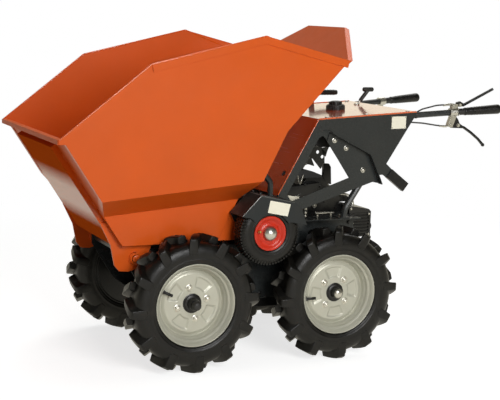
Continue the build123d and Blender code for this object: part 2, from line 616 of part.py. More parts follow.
def beside_clamp(outline, low, high):
    """Plate beside the left handle, its (x, z) outline taken from the middle of the clamp."""
    middle = handle_point(CLAMP_SHARE)
    return Pos(*middle) * slab(outline, low, high)


def hand_levers():
    """Cast clamp on the left handle, with a lever above the grip and one below it."""
    tube = PARTS["handle_tubes"][0]
    centre = handle_point(CLAMP_SHARE)
    axis = (handle_point(1) - handle_point(0)).normalized()
    band = rod(TUBE_R + 5, tuple(centre - axis * 14), tuple(centre + axis * 14))
    upper_boss = [(9, 6), (9, 33), (-15, 30), (-16, 6)]
    lower_boss = [(8, -4), (25, -50), (4, -55), (-11, -16), (-11, -4)]
    clamp = band + beside_clamp(upper_boss, -8, 8) + beside_clamp(lower_boss, -8, 8) - tube
    stub = band + Pos(*centre) * block((-7, 7), (-5, 5), (-25, -8)) - tube
    add("lever_clamp", clamp, other_side(stub))
    paths = [[(-38, 4, 25), (-60, 6, 36), (-156, 19, 86)],
             [(-32, 3, -50), (-48, 4, -55), (-79, 8, -75), (-107, 12, -97), (-128, 15, -119)]]
    roots = [[(-12, 36), (-12, 20), (-39, 22), (-46, 30), (-26, 40)],
             [(-8, -12), (6, -56), (-40, -58), (-44, -50), (-28, -40), (-20, -24)]]
    levers = []
    for path, root in zip(paths, roots):
        spots = [tuple(centre + Vector(*spot)) for spot in path]
        levers.append(bent_tube(spots, LEVER_R, 18, 6) + beside_clamp(root, -4, 6) - clamp)
    levers[1] += ball(tuple(centre + Vector(*paths[1][-1])), LEVER_R + 1.8)
    add("hand_levers", *levers)
    routes = (((9, 0, 29), (66, -8, 25), (116, -26, 10), (172, -46, -26)),
              ((24, 0, -50), (64, -6, -47), (112, -20, -40), (182, -40, -36)))
    outside = slab(back_path(-SEAT) + [(-900, 700), (-900, 1000)], 0, 400)
    cables = []
    for route in routes:
        cable = bent_tube([tuple(centre + Vector(*spot)) for spot in route], CABLE_R, 60, 6)
        cables.append((cable & outside) - clamp)
    add("control_cables", *cables)


def console_controls():
    """Direction lever on the console's top and tipping lever on its right side."""
    x, y = DIRECTION_LEVER
    low = cover_z(x)
    under = slab([(x - 40, cover_z(x - 40)), (x - 40, 800), (x + 40, 800), (x + 40, cover_z(x + 40))],
                 -200, 0)
    stem = rod(5, (x, y, low - 6), (x - 44, y, low + 53)) - under
    head = rod(8, (x - 66, y, low + 57), (x - 24, y, low + 57))
    add("direction_lever", stem + head)
    outer, (x, z) = -CONSOLE_Y, TIPPING_LEVER
    bar = slab([(x + 12, z - 84), (x - 12, z - 84), (x - 14, z + 8), (x + 8, z + 8)], outer - 6, outer)
    knob = rod(9, (x, outer - 9, z), (x - 116, outer - 9, z))
    add("tipping_lever", bar + knob)


def tank():
    """Fuel tank under the console's cover, and the filler cap that stands on the cover."""
    low, half = TANK_LOW_Z, TANK_W / 2
    skin = SKIP_T + SEAT
    front, rear = CONSOLE_FRONT[0] - 19, TANK_REAR_X
    side = [(front, cover_z(front) - skin), (rear, cover_z(rear) - skin), (rear + 30, low + 30),
            (rear + 45, low), (front - 26, low), (front - 8, low + 8), (front, low + 26)]
    add("fuel_tank", slab(side, -half, half))
    x, base = FILLER_X, cover_z(FILLER_X)
    cap = rod(FILLER_R, (x, 0, base - 5), (x, 0, base + 20)) + rod(20, (x, 0, base + 20), (x, 0, base + 32))
    under = [(-300, cover_z(-300)), (-560, cover_z(-560)), (-560, 780), (-300, 780)]
    add("filler_cap", cap - slab(under, -200, 200))


def engine():
    """Petrol engine on the deck, low at the rear, its shaft out to the left into the chain case."""
    rear, front = ENGINE_X
    half, top = ENGINE_W / 2, DECK_Z + ENGINE_H
    case = slab([(front, DECK_Z), (front, top - 30), (front - 22, top), (front - 80, top),
                 (front - 106, DECK_Z + 98), (rear + 20, DECK_Z + 76), (rear, DECK_Z + 54), (rear, DECK_Z)],
                -half, half)
    stay = [(front - 86, top), (front - 86, top + 47), (front - 108, top + 46), (front - 116, top + 34),
            (front - 120, DECK_Z + 100), (front - 98, DECK_Z + 104)]
    add("engine_block", case + slab(stay, half - 12, half))
    cleaner = [(front + 56, top), (front + 28, top + CLEANER_H), (front - 25, top + 25),
               (front - 66, top + 9), (front - 72, top)]
    cover = slab(cleaner, 20, half + 25)
    add("air_cleaner", chamfer(cover.edges().filter_by(Axis.Y).sort_by(Axis.Z)[-2:], 5))
    x, z = front - 90, DECK_Z + RECOIL_R + 4
    add("recoil_starter", rod(RECOIL_R, (x, -half, z), (x, -half - 30, z))
        + rod(RECOIL_R - 20, (x, -half - 30, z), (x, -half - 40, z)))


def muffler():
    """Muffler in its louvred guard, with its pipe to the engine and its outlet to the rear."""
    (rear, front), (inner, outer), (low, top) = MUFFLER_X, MUFFLER_Y, MUFFLER_Z
    can = slab([(front, low), (front, top), (front - 26, top), (rear + 9, top - 11), (rear, top - 20),
                (rear, low)], inner, outer)
    can += block((front, ENGINE_X[0]), (inner + 15, inner + 50), (DECK_Z + 1, top - 2))
    count = int((top - 30 - low) / LOUVRE_PITCH)
    for row in range(count):
        z = low + 10 + LOUVRE_PITCH * row
        can -= block((rear + 8, front - 8), (outer - 5, outer + 1), (z, z + LOUVRE_PITCH / 2))
    outlet = rod(13, (rear - 20, outer - 40, low + 32), (rear, outer - 40, low + 32))
    add("muffler", can + outlet)


def tubes():
    """Tubes from the deck up to the console's rear legs, and the hoop that the skip leans on."""
    y = CONSOLE_Y - PLATE_T - 12 - SEAT
    tube = bent_tube([(-338, y, DECK_Z - 9), (-344, y, DECK_Z + 34), (-430, y, 640)], 12, 40)
    add_both("support_tubes", tube & block((-600, 0), (0, 400), (DECK_Z, 900)))
    y, z = 268.0, 665.0
    x = rear_x(z) - (REST_TUBE_R + SEAT) / sin(radians(REAR_LEAN))
    half = [(-30, y, 545), (-30, y, 618), (x, y, z)]
    hoop = bent_tube(half + [(px, -py, pz) for px, py, pz in half[::-1]], REST_TUBE_R, 26)
    below = slab([(40, guard_z(40)), (-100, guard_z(-100)), (-100, 400), (40, 400)], -400, 400)
    add("skip_rest", hoop - below)


def write():
    """Write each part about the middle of the machine's footprint."""
    boxes = [solid.bounding_box() for solids in PARTS.values() for solid in solids]
    middle = (min(box.min.X for box in boxes) + max(box.max.X for box in boxes)) / 2
    os.makedirs("parts", exist_ok=True)
    for name, solids in PARTS.items():
        moved = [solid.moved(Location((-middle, 0, 0))) for solid in solids]
        export_step(Compound(moved) if len(moved) > 1 else moved[0], f"parts/{name}.step")
    return middle


for build in (road_wheels, drive_wheels, skip_sides, skip_walls, skip_trim, skip_brackets, chassis,
              axles, transmission, guards, console, arms, handles, hand_levers, console_controls, tank,
              engine, muffler, tubes):
    build()
MIDDLE_X = write()
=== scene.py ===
"""The looks of the walk-behind site dumper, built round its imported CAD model.

Shapes are drawn in millimetres from the ground midway between the axles, and placed in metres in the
frame of the CAD model: +X is forward, +Y is the machine's left, +Z is up.
"""
import bmesh
import bpy
import json
from math import cos, exp, pi, radians, sin, tau
from mathutils import Matrix, Vector

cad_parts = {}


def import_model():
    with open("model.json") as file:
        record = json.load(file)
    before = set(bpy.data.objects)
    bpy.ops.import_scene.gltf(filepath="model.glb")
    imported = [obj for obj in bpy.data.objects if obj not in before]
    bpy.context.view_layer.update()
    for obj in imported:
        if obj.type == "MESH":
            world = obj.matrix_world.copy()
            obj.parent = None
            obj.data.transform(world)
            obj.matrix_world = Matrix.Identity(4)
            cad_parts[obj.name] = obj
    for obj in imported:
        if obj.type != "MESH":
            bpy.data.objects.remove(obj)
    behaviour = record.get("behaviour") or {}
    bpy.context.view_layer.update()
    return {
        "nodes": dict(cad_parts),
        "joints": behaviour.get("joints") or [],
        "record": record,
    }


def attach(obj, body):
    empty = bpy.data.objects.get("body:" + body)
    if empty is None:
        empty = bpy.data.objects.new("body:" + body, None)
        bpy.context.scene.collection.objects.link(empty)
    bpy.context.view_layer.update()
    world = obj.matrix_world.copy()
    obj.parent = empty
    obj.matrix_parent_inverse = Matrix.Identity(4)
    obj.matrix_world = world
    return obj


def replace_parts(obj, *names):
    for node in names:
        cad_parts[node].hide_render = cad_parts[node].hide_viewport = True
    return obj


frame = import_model()
NODES = frame["nodes"]
JOINTS = {joint["name"]: Vector(joint["pos_m"]) for joint in frame["joints"]}
MIDSHIP = JOINTS["drive_wheel_left_turn"].x     # midway between the axles
MM = 0.001

# ---- sizes, in millimetres
AXLE_X = 267.5               # axles, in front of and behind the middle
AXLE_TUBE_R = 24.5
TYRE_R = 1000 * JOINTS["wheel_front_left_turn"].z
TYRE_HALF = 50.0
TREAD_R = TYRE_R - 22.0
RIM_R = 139.0
LUG_COUNT = 12
LUG_SKEW = 34.0
DISC_Y = 3.0                 # face of the wheel disc, outboard of the tyre's mid plane
PANEL_R = (54.0, 88.0)       # inner and outer edges of the disc's pressed panels
PANEL_TURN = 20.0            # half of the angle that a panel takes, degrees
PANEL_DEPTH = 4.2
PANEL_EDGE = 1.1             # softness of a panel's edge
DISC_T = 3.0
NUT_CIRCLE_R = 54.0
NUT_COUNT = 4
NUT_SIZE = 9.6
NUT_TURN = {"front": 13.5, "rear": 50.0}     # first wheel nut, degrees from the top
VALVE_TURN = {"front": 66, "rear": 99}
DRIVE_R = 110.0
DRIVE_HALF = 35.0
DRIVE_Z = 1000 * JOINTS["drive_wheel_left_turn"].z
DRIVE_TREAD_COUNT = 60
DRIVE_DOME_R = 25.5
FRONT_FOOT_X = 481.0         # outer face of the skip's front wall at its foot, and how it leans
FRONT_FOOT_Z = 420.0
FRONT_LEAN = 0.652
LIP_Z = 781.0
SIDE_Y = 355.0               # outer face of the skip's sides
PIVOT_X, PIVOT_Z = 430.0, 372.0      # the skip's tipping pivot
CHASSIS_Y = 190.0            # outer face of the chassis' sides
CHASSIS_LOW_Z = 168.0
DECK_Z = 476.0               # top of the engine deck
CONSOLE_Y = 246.0            # outer face of the console's sides
LID_UP = (0.058, 0, 1)       # square to the console's lid
BRACE_Y = 250.0              # outer face of the brace arms
GUARD_Y = 352.0              # outer face of the drive guards
GUARD_UP = (-0.2, 0, 0.98)   # square to the guards' tops
HANDLE_BEND = Vector((-612.0, 230.7, 837.7))     # left handle, where its straight splayed part starts
HANDLE_END = Vector((-949.0, 277.0, 862.0))
CLAMP_SHARE = 0.45           # place of a clamp along that part
GRIP_LEN = 143.0
LEVER_Y = 251.5              # the hand levers' clamp on the left handle
DIRECTION_TOP = Vector((-610, -100, 902))
DIRECTION_FOOT = Vector((-563.5, -100, 845.5))
TIPPING_Y, TIPPING_Z = -255.0, 884.0
CASE_Y = 122.0               # outer face of the engine's chain case
BLOCK_Y = 95.0               # left face of the engine's block
IDLER_Y = 200.0
STARTER_X, STARTER_Y, STARTER_Z = -330.0, -125.0, DECK_Z + 66
MUFFLER_Y = 150.0            # outer face of the muffler's guard
STITCH_RUN = 26.0            # length of one stitch weld
WELD_PITCH = 5.0
BAND_FADE = 0.06             # metres in which a band of gloss dies away

SIDES = (("left", 1), ("right", -1))
WHEELS = [(end, name, side) for end in ("front", "rear") for name, side in SIDES]

# ---- light
WHITE = (1, 1, 1, 1)
FLOOR_COLOUR = (0.6, 0.6, 0.59, 1)
FLOOR_GLOW = 0.72            # what the floor adds, near the machine, to the lamps' light on it
FLOOR_FADE = (1.5, 3.2)      # distances over which the floor turns to the backdrop's white, metres
WORLD_LIGHT = 0.13
GLOSS_TINT = (1.0, 0.94, 0.76, 1)    # the backdrop as polished surfaces show it
GLOSS_NEAR, GLOSS_FAR, GLOSS_ABOVE = 0.22, 1.0, 0.4
LAMP_TARGET = (0, 0, 0.6)
LAMPS = (  # name, place, size in metres, watts
    ("key", (0.1, 5.2, 2.5), 2.4, 208),
    ("fill", (3.6, 2.2, 3.0), 2.6, 6),
    ("top", (0.3, -0.6, 4.6), 2.6, 45),
    ("back", (-2.9, -3.0, 4.4), 2.6, 60),
)

# ---- camera, solved from the photograph
EYE = Vector((1.8976, 3.985, 1.197))
TARGET = Vector((0.0063, 0.0, 0.5181))
ROLL = radians(1.77)
LENS = 88.83
SHIFT = (-0.0102, -0.0023)


def srgb(red, green, blue):
    """A colour given as it looks on a screen, as the shader wants it."""
    parts = [part / 255 for part in (red, green, blue)]
    return [part / 12.92 if part <= 0.04045 else ((part + 0.055) / 1.055) ** 2.4 for part in parts] + [1.0]


ORANGE = srgb(212, 87, 20)
GREY = srgb(39, 42, 42)
BLACK = srgb(15, 15, 15)
SILVER = srgb(187, 186, 171)
RED = srgb(200, 46, 22)
RUBBER = srgb(10, 9, 7)
STEEL = srgb(190, 188, 180)
ZINC_COLOUR = srgb(208, 206, 196)
BRASS = srgb(190, 160, 96)
DUST = srgb(150, 136, 112)
CREAM = srgb(243, 238, 216)


# ---- materials
class Net:
    """Short hand for the nodes of a material or of the world."""

    def __init__(self, owner):
        owner.use_nodes = True
        self.owner = owner
        self.nodes, self.links = owner.node_tree.nodes, owner.node_tree.links

    def set(self, socket, value):
        """Link an output to the socket, or write a plain value on it, or leave it if there is none."""
        if isinstance(value, bpy.types.NodeSocket):
            self.links.new(value, socket)
        elif value is not None:
            socket.default_value = value

    def node(self, kind, output, inputs=None, **settings):
        """Add a node with its settings and inputs, and give back one of its outputs."""
        made = self.nodes.new("ShaderNode" + kind)
        for name, value in settings.items():
            setattr(made, name, value)
        for name, value in (inputs or {}).items():
            self.set(made.inputs[name], value)
        return made.outputs[output]

    def remap(self, value, low, high, to_low=0.0, to_high=1.0, **settings):
        ranges = {"Value": value, "From Min": low, "From Max": high, "To Min": to_low, "To Max": to_high}
        return self.node("MapRange", "Result", ranges, **settings)

    def math(self, kind, first, second):
        return self.node("Math", "Value", {0: first, 1: second}, operation=kind)

    def times(self, first, second):
        return self.math("MULTIPLY", first, second)

    def mix(self, factor, first, second):
        return self.node("Mix", "Result", {"Factor": factor, "A": first, "B": second}, data_type="RGBA")

    def rays(self):
        """Whether a ray comes from the camera, off a mirror-like surface, or through glass."""
        return [self.node("LightPath", f"Is {kind} Ray") for kind in ("Camera", "Glossy", "Transmission")]


class Paint(Net):
    """Nodes of a new material, with its shader and the object's own coordinates."""

    def __init__(self, name):
        super().__init__(bpy.data.materials.new(name))
        self.shader = self.nodes["Principled BSDF"]
        self.coords = self.node("TexCoord", "Object")

    def dress(self, **values):
        """Set inputs of the shader; an underscore in a name stands for a space."""
        for name, value in values.items():
            self.set(self.shader.inputs[name.replace("_", " ")], value)

    def noise(self, scale, detail, stretch=(1, 1, 1), rough=0.5):
        place = self.node("Mapping", "Vector", {"Vector": self.coords, "Scale": stretch})
        grain = {"Vector": place, "Scale": scale, "Detail": detail, "Roughness": rough}
        return self.node("TexNoise", "Fac", grain)

    def bump(self, height, distance, below):
        return self.node("Bump", "Normal", {"Height": height, "Distance": distance, "Normal": below})

    def soft_edges(self, radius):
        return self.node("Bevel", "Normal", {"Radius": radius}, samples=4)

    def band(self, heights, strength):
        """The strength between two heights in metres, dying away above and below them."""
        height = self.node("SeparateXYZ", "Z", {"Vector": self.coords})
        low, high = heights
        below = self.remap(height, low - BAND_FADE, low)
        above = self.remap(height, high + BAND_FADE, high)
        return self.times(self.times(below, above), strength)

    def up(self):
        """How far the surface faces up, in the object's own frame."""
        return self.node("SeparateXYZ", "Z", {"Vector": self.node("TexCoord", "Normal")})


def shade(colour, share):
    """The colour made lighter or darker."""
    return [min(1.0, part * share) for part in colour[:3]] + [1.0]


def finish(name, colour, rough, metal=0.0, coat=0.0, mottle=0.06, dust=0.1, peel=0.00003, wave=0.0,
           scratches=0.0, edge=0.0012, specular=0.5, band=None):
    """Material with colour variation, dust on what faces up, fine texture and softened edges."""
    net = Paint(name)
    cloud = net.remap(net.noise(7, 5), 0.3, 0.7)
    speck = net.remap(net.noise(90, 6, rough=0.7), 0.35, 0.75)
    tone = net.mix(cloud, shade(colour, 1 - mottle), shade(colour, 1 + mottle))
    tone = net.mix(net.times(speck, mottle), tone, shade(colour, 0.6))
    settle = net.remap(net.up(), -0.2, 0.9, 0.25, 1.0)
    patch = net.remap(net.noise(16, 9, rough=0.65), 0.45, 0.8)
    dusty = net.times(net.times(patch, settle), dust)
    gloss = net.remap(net.noise(38, 7, rough=0.6), 0.2, 0.8, rough - 0.05, rough + 0.07)
    gloss = net.math("ADD", gloss, net.times(dusty, 0.9))
    if scratches:
        lines = net.remap(net.noise(5, 3, (1, 1, 60)), 0.68, 0.72)
        cross = net.remap(net.noise(4, 3, (50, 1, 1)), 0.69, 0.73)
        gloss = net.math("ADD", gloss, net.times(net.math("MAXIMUM", lines, cross), scratches))
    if coat:
        net.dress(Coat_Weight=net.band(band, coat) if band else coat, Coat_Roughness=0.08)
    normal = net.soft_edges(edge) if edge else None
    if wave:
        normal = net.bump(net.noise(2.6, 1), wave, normal)
    net.dress(Base_Color=net.mix(dusty, tone, DUST), Roughness=gloss, Metallic=metal,
              Specular_IOR_Level=net.band(band, specular) if band else specular,
              Normal=net.bump(net.noise(420, 2), peel, normal))
    return net.owner


def rubber(name, colour, dust, grain):
    """Matt rubber, paler where dust lies in its low places."""
    net = Paint(name)
    cloud = net.remap(net.noise(9, 6, rough=0.6), 0.3, 0.75)
    tone = net.mix(cloud, shade(colour, 0.75), shade(colour, 1.25))
    worn = net.remap(net.noise(30, 9, rough=0.7), 0.5, 0.8, 0.0, dust)
    fine = net.bump(net.noise(260, 5), grain, net.soft_edges(0.0008))
    net.dress(Base_Color=net.mix(worn, tone, DUST), Specular_IOR_Level=0.3,
              Roughness=net.remap(net.noise(55, 6), 0.3, 0.7, 0.3, 0.46),
              Normal=net.bump(net.noise(40, 3), grain * 3, fine))
    return net.owner


def brushed(name, colour, rough):
    """Bare or plated metal with fine lines from its working."""
    net = Paint(name)
    lines = net.noise(60, 5, (1, 40, 1))
    net.dress(Base_Color=net.mix(lines, shade(colour, 0.8), shade(colour, 1.05)), Metallic=1.0,
              Roughness=net.remap(lines, 0.3, 0.7, rough - 0.08, rough + 0.12),
              Normal=net.bump(lines, 0.00002, net.soft_edges(0.0006)))
    return net.owner


MATERIALS = {
    "orange_paint": finish("orange_enamel", ORANGE, 0.36, coat=0.12, mottle=0.04, dust=0.05, wave=0.004,
                           scratches=0.12, specular=0.2),
    "grey_paint": finish("grey_paint", GREY, 0.26, mottle=0.08, dust=0.05, scratches=0.1, specular=0.35),
    "black_paint": finish("black_paint", BLACK, 0.3, mottle=0.15, dust=0.04, specular=0.4),
    "rim_silver": finish("silver_wheel_paint", SILVER, 0.38, metal=0.3, mottle=0.05, dust=0.12),
    "tyre_rubber": rubber("tyre_rubber", RUBBER, 0.03, 0.0003),
    "red_paint": finish("red_enamel", RED, 0.34, coat=0.15, mottle=0.06, dust=0.06, specular=0.3),
    "steel": brushed("plated_steel", STEEL, 0.3),
    "black_plastic": finish("black_plastic", BLACK, 0.5, mottle=0.1, dust=0.1, peel=0.00008),
    "black_rubber": rubber("black_rubber", BLACK, 0.08, 0.0002),
}
POLISHED_LID = finish("polished_orange", ORANGE, 0.16, coat=1.0, mottle=0.04, dust=0.05, wave=0.008,
                      scratches=0.3)
FRONT_GLOSS = finish("front_enamel", ORANGE, 0.3, coat=0.75, mottle=0.02, dust=0.02, wave=0.02,
                     specular=0.0, band=(0.53, 0.6))
FRONT_DULL = finish("front_satin", ORANGE, 0.45, mottle=0.04, dust=0.05, specular=0.12)
EDGE_GLOSS = finish("folded_edge", ORANGE, 0.15, coat=0.7, mottle=0.0, dust=0.0, edge=0.0, specular=0.5)
GREY_GLOSS = finish("folded_grey_edge", GREY, 0.12, coat=1.0, mottle=0.0, dust=0.0, edge=0.0, specular=0.8)
SATIN_GREY = finish("satin_grey", GREY, 0.42, mottle=0.08, dust=0.06, specular=0.22)
ZINC = brushed("zinc_plate", ZINC_COLOUR, 0.34)
BRASS_METAL = brushed("brass", BRASS, 0.3)
BLANK_PLATE = finish("blank_plate", CREAM, 0.45, mottle=0.05, dust=0.2, edge=0.0)
FIN_METAL = brushed("cast_fins", srgb(120, 118, 112), 0.5)
SPECIAL = {
    "console_cover": POLISHED_LID,
    "skip_front_channel": FRONT_GLOSS,
    "skip_front_wall": FRONT_DULL,
    "tip_pivot": MATERIALS["black_paint"],
    "drive_guard_left": SATIN_GREY,
    "drive_guard_right": SATIN_GREY,
}


def paint_cad():
    """Give each CAD part the finish of its slot, or a special one."""
    for part in frame["record"]["subparts"]:
        mesh = NODES[part["node"]].data
        mesh.materials.clear()
        mesh.materials.append(SPECIAL.get(part["node"], MATERIALS[part["material_slot"]]))
        smooth_shade(mesh, 32)


# ---- mesh helpers
def smooth_shade(mesh, angle):
    """Smooth shading, with edges sharper than an angle in degrees kept."""
    mesh.polygons.foreach_set("use_smooth", [True] * len(mesh.polygons))
    mesh.set_sharp_from_angle(angle=radians(angle))


def at(x, y, z):
    """A place given in millimetres from the ground midway between the axles."""
    return Vector((MIDSHIP + x * MM, y * MM, z * MM))


def facing(place, direction=(0, 1, 0)):
    """Matrix that takes millimetres about the Y axis to metres about a direction at a place."""
    turn = Vector((0, 1, 0)).rotation_difference(Vector(direction)).to_matrix().to_4x4()
    return Matrix.Translation(place) @ turn @ Matrix.Scale(MM, 4)


MACHINE = facing(at(0, 0, 0))


def skin(bm, rings, place, loop=False):
    """Faces between rings of corners, closed at both ends or joined into a loop."""
    rows = [[bm.verts.new(place @ Vector(spot)) for spot in ring] for ring in rings]
    pairs = list(zip(rows, rows[1:]))
    if loop:
        pairs.append((rows[-1], rows[0]))
    for low, high in pairs:
        for a, b, c, d in zip(low, low[1:] + low[:1], high[1:] + high[:1], high):
            bm.faces.new((a, b, c, d))
    if not loop:
        bm.faces.new(rows[0][::-1])
        bm.faces.new(rows[-1])


def lathe(bm, profile, place, steps, loop=False):
    """Turned form about the Y axis through a table of (y, radius)."""
    turns = [tau * count / steps for count in range(steps)]
    skin(bm, [[(r * sin(t), y, r * cos(t)) for t in turns] for y, r in profile], place, loop)


def plate(bm, outline, low, high, place=MACHINE):
    """Plate with an (x, z) outline between two places along Y."""
    skin(bm, [[(x, y, z) for x, z in outline] for y in (low, high)], place)


def box(bm, x, y, z, place=MACHINE):
    """Block given by its (low, high) along each axis."""
    plate(bm, [(x[0], z[0]), (x[1], z[0]), (x[1], z[1]), (x[0], z[1])], y[0], y[1], place)


def curve_points(points, steps):
    """Points along a smooth curve through the points given."""
    spots = [Vector(point) for point in points]
    spots = [2 * spots[0] - spots[1]] + spots + [2 * spots[-1] - spots[-2]]
    path = []
    for a, b, c, d in zip(spots, spots[1:], spots[2:], spots[3:]):
        for t in [step / steps for step in range(steps)]:
            path.append(0.5 * (2 * b + (c - a) * t + (2 * a - 5 * b + 4 * c - d) * t ** 2
                               + (3 * b - a - 3 * c + d) * t ** 3))
    return path + [spots[-2]]


def tube(bm, path, radius, sides, place=MACHINE):
    """Round bar along a path; the radius is one number or one for each point."""
    path = [Vector(spot) for spot in path]
    radii = radius if isinstance(radius, list) else [radius] * len(path)
    ways = [(b - a).normalized() for a, b in zip(path, path[1:])]
    ways = [ways[0]] + [(a + b).normalized() for a, b in zip(ways, ways[1:])] + [ways[-1]]
    side = ways[0].orthogonal().normalized()
    rings = []
    for spot, way, size in zip(path, ways, radii):
        side = (side - way * side.dot(way)).normalized()
        other = way.cross(side)
        rings.append([spot + (side * cos(tau * n / sides) + other * sin(tau * n / sides)) * size
                      for n in range(sides)])
    skin(bm, rings, place)


def bolt(bm, place, direction, size, washer=True):
    """Hexagon bolt head, with a washer under it."""
    seat = facing(place, direction)
    thick = size * 0.18 if washer else 0.0
    if washer:
        lathe(bm, ((-0.5, size * 1.15), (thick, size * 1.15)), seat, 24)
    top = thick + size * 0.6
    lathe(bm, ((thick - 0.5, size * 0.95), (top, size * 0.95), (top + size * 0.12, size * 0.78)), seat, 6)


def dome(bm, place, direction, radius, height, steps=24):
    """Round head, such as a rivet's."""
    arcs = [radians(angle) for angle in (0, 20, 40, 60, 78)]
    profile = [(-0.5, radius)] + [(height * sin(a), radius * cos(a)) for a in arcs]
    lathe(bm, profile, facing(place, direction), steps)


def weld(bm, start, end, radius):
    """Bead of overlapping ripples along a seam."""
    start, end = Vector(start), Vector(end)
    count = max(4, int((end - start).length / WELD_PITCH) * 4)
    path = [start.lerp(end, step / count) for step in range(count + 1)]
    radii = [radius * (0.86 + 0.14 * cos(tau * step / 4)) for step in range(count + 1)]
    tube(bm, path, radii, 8)


def piece(name, bm, slot, body="chassis", smooth=38, bevel=0.0, material=None):
    """Object made of the collected faces, that rides on a body."""
    bmesh.ops.remove_doubles(bm, verts=bm.verts, dist=1e-6)
    bmesh.ops.recalc_face_normals(bm, faces=bm.faces)
    mesh = bpy.data.meshes.new(name)
    bm.to_mesh(mesh)
    bm.free()
    mesh.materials.append(material or MATERIALS[slot])
    smooth_shade(mesh, smooth)
    obj = bpy.data.objects.new(name, mesh)
    bpy.context.scene.collection.objects.link(obj)
    if bevel:
        edges = obj.modifiers.new("edges", "BEVEL")
        edges.width = bevel * MM
        edges.segments = 2
        edges.limit_method = "ANGLE"
        edges.angle_limit = radians(30)
        edges.use_clamp_overlap = True
    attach(obj, body)
    return obj


def outward(place, side):
    """Matrix that takes millimetres to metres at a place, with +Y outboard on either side."""
    return Matrix.Translation(place) @ Matrix.Scale(side, 4, (0, 1, 0)) @ Matrix.Scale(MM, 4)


def spin(degrees):
    """Turn about a wheel's axis."""
    return Matrix.Rotation(radians(degrees), 4, "Y")


def side_bolts(bm, spots, y, size, side=1):
    """Bolts into a face across the machine, at (x, z) spots."""
    for x, z in spots:
        bolt(bm, at(x, side * y, z), (0, side, 0), size)


# ---- road wheels
def tyre_profile():
    """Half of the carcass, from the bead to the tread's middle, as (y, radius)."""
    wall = ((9, 0.6), (5, 3), (3.2, 8), (2.8, 13), (1.6, 14.2), (1.5, 16.2), (2.2, 17.4), (0.6, 26),
            (0.4, 34), (2, 46))
    tread = ((6, 15), (13, 6), (25, 1.5), (TYRE_HALF, 0))
    return ([(TYRE_HALF - inset, RIM_R + rise) for inset, rise in wall]
            + [(TYRE_HALF - inset, TREAD_R - drop) for inset, drop in tread])


def lug(bm, side, place):
    """One tread bar, from past the centre line over the shoulder and down the sidewall."""
    table = (  # y, half width at the top and at the foot, radius of the top, depth of the foot
        (-8, 12.0, 18, TYRE_R - 0.6, 26), (8, 13.2, 19.5, TYRE_R, 26), (26, 14.0, 20.5, TYRE_R - 0.8, 28),
        (40, 13.8, 19.8, TYRE_R - 3, 36), (TYRE_HALF - 1.2, 12.2, 16.5, TYRE_R - 10, 54),
        (TYRE_HALF - 0.2, 9.0, 11.5, TYRE_R - 22, 62))
    rings = []
    for y, top_half, foot_half, top_r, depth in table:
        lean = LUG_SKEW * ((y + 7) / 57 - 0.5)
        foot_r = TYRE_R - depth
        rings.append([(lean - foot_half, side * y, foot_r), (lean - top_half, side * y, top_r),
                      (lean + top_half, side * y, top_r), (lean + foot_half, side * y, foot_r)])
    skin(bm, rings, place)


def road_tyres():
    """Carcasses with their tread bars, which lie half a pitch apart on the two sides."""
    half = tyre_profile()
    inner = [(-36, 132.5), (36, 132.5)]
    pitch = 360 / LUG_COUNT
    for end, name, side in WHEELS:
        body = f"wheel_{end}_{name}"
        place = outward(JOINTS[body + "_turn"], side)
        bm = bmesh.new()
        loop = [(-y, r) for y, r in half[:-1]] + [(y, r) for y, r in half[::-1]] + inner[::-1]
        lathe(bm, loop, place, 120, loop=True)
        carcass = piece(f"carcass_{end}_{name}", bm, "tyre_rubber", body, smooth=50)
        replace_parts(carcass, f"tyre_{end}_{name}")
        bm = bmesh.new()
        for half_side, shift in ((1, 0), (-1, 0.5)):
            for count in range(LUG_COUNT):
                lug(bm, half_side, place @ spin(180 + pitch * (count + shift)))
        piece(f"lugs_{end}_{name}", bm, "tyre_rubber", body, smooth=30, bevel=2.4)


# Back of the rim's well, from the barrel to the disc, as (y from the disc's face, radius)
BARREL_BACK = ((-30, 121), (-24, 119.5), (-14, 115), (-9.4, 108), (-8, 103), (-4.6, 98.5), (-2.4, 95))


def rim_profile():
    """Pressed rim from the disc's shoulder out over the lip and back along the barrel."""
    front = [(0.6, 96), (-0.6, 100), (-3, 103.5), (-6, 107), (-6.6, 110), (-4, 112.4), (3, 113.6),
             (7, 115.2), (9, 118), (17, 119.4), (21.5, 121), (24, 124.4), (26, 127), (29, 128.4)]
    lip = [(36, 130.4), (39, 132.6), (42, 134.4), (43.8, 136.6), (43.6, 138.4), (41.6, 139.2), (39.4, 138.2),
           (37.2, 133), (34, 131.4), (-34, 131.4), (-37.2, 133), (-39.4, 138.2), (-41.6, 139.2),
           (-43.6, 138.4), (-43.8, 136.6), (-42, 134.4), (-38, 131.6), (-33, 128.6)]
    return [(DISC_Y + y, r) for y, r in front] + lip + [(DISC_Y + y, r) for y, r in BARREL_BACK]


def soft_step(distance):
    """From 0 well short of a pressed edge to 1 well past it."""
    return 1 / (1 + exp(-distance / PANEL_EDGE))


def disc_height(radius, angle):
    """Face of the disc, with four pressed panels and a shallow crown."""
    crown = 3.0 * max(0.0, 1 - (radius / 96) ** 2)
    away = abs((angle + pi / 4) % (pi / 2) - pi / 4)
    across = soft_step((radians(PANEL_TURN) - away) * radius)
    along = soft_step(radius - PANEL_R[0]) * soft_step(PANEL_R[1] - radius)
    return DISC_Y + 0.6 + crown - PANEL_DEPTH * across * along


def rim_disc(bm, place):
    """Both faces of the pressed disc, with enough corners for its panels."""
    radii = [18 + 3 * count for count in range(11)] + [50 + 1.35 * count for count in range(34)] + [97]
    turns = [tau * count / 192 for count in range(192)]
    face = [[(r * sin(t), disc_height(r, t), r * cos(t)) for t in turns] for r in radii]
    back = [[(x, y - DISC_T, z) for x, y, z in ring] for ring in face[::-1]]
    skin(bm, face + back, place, loop=True)


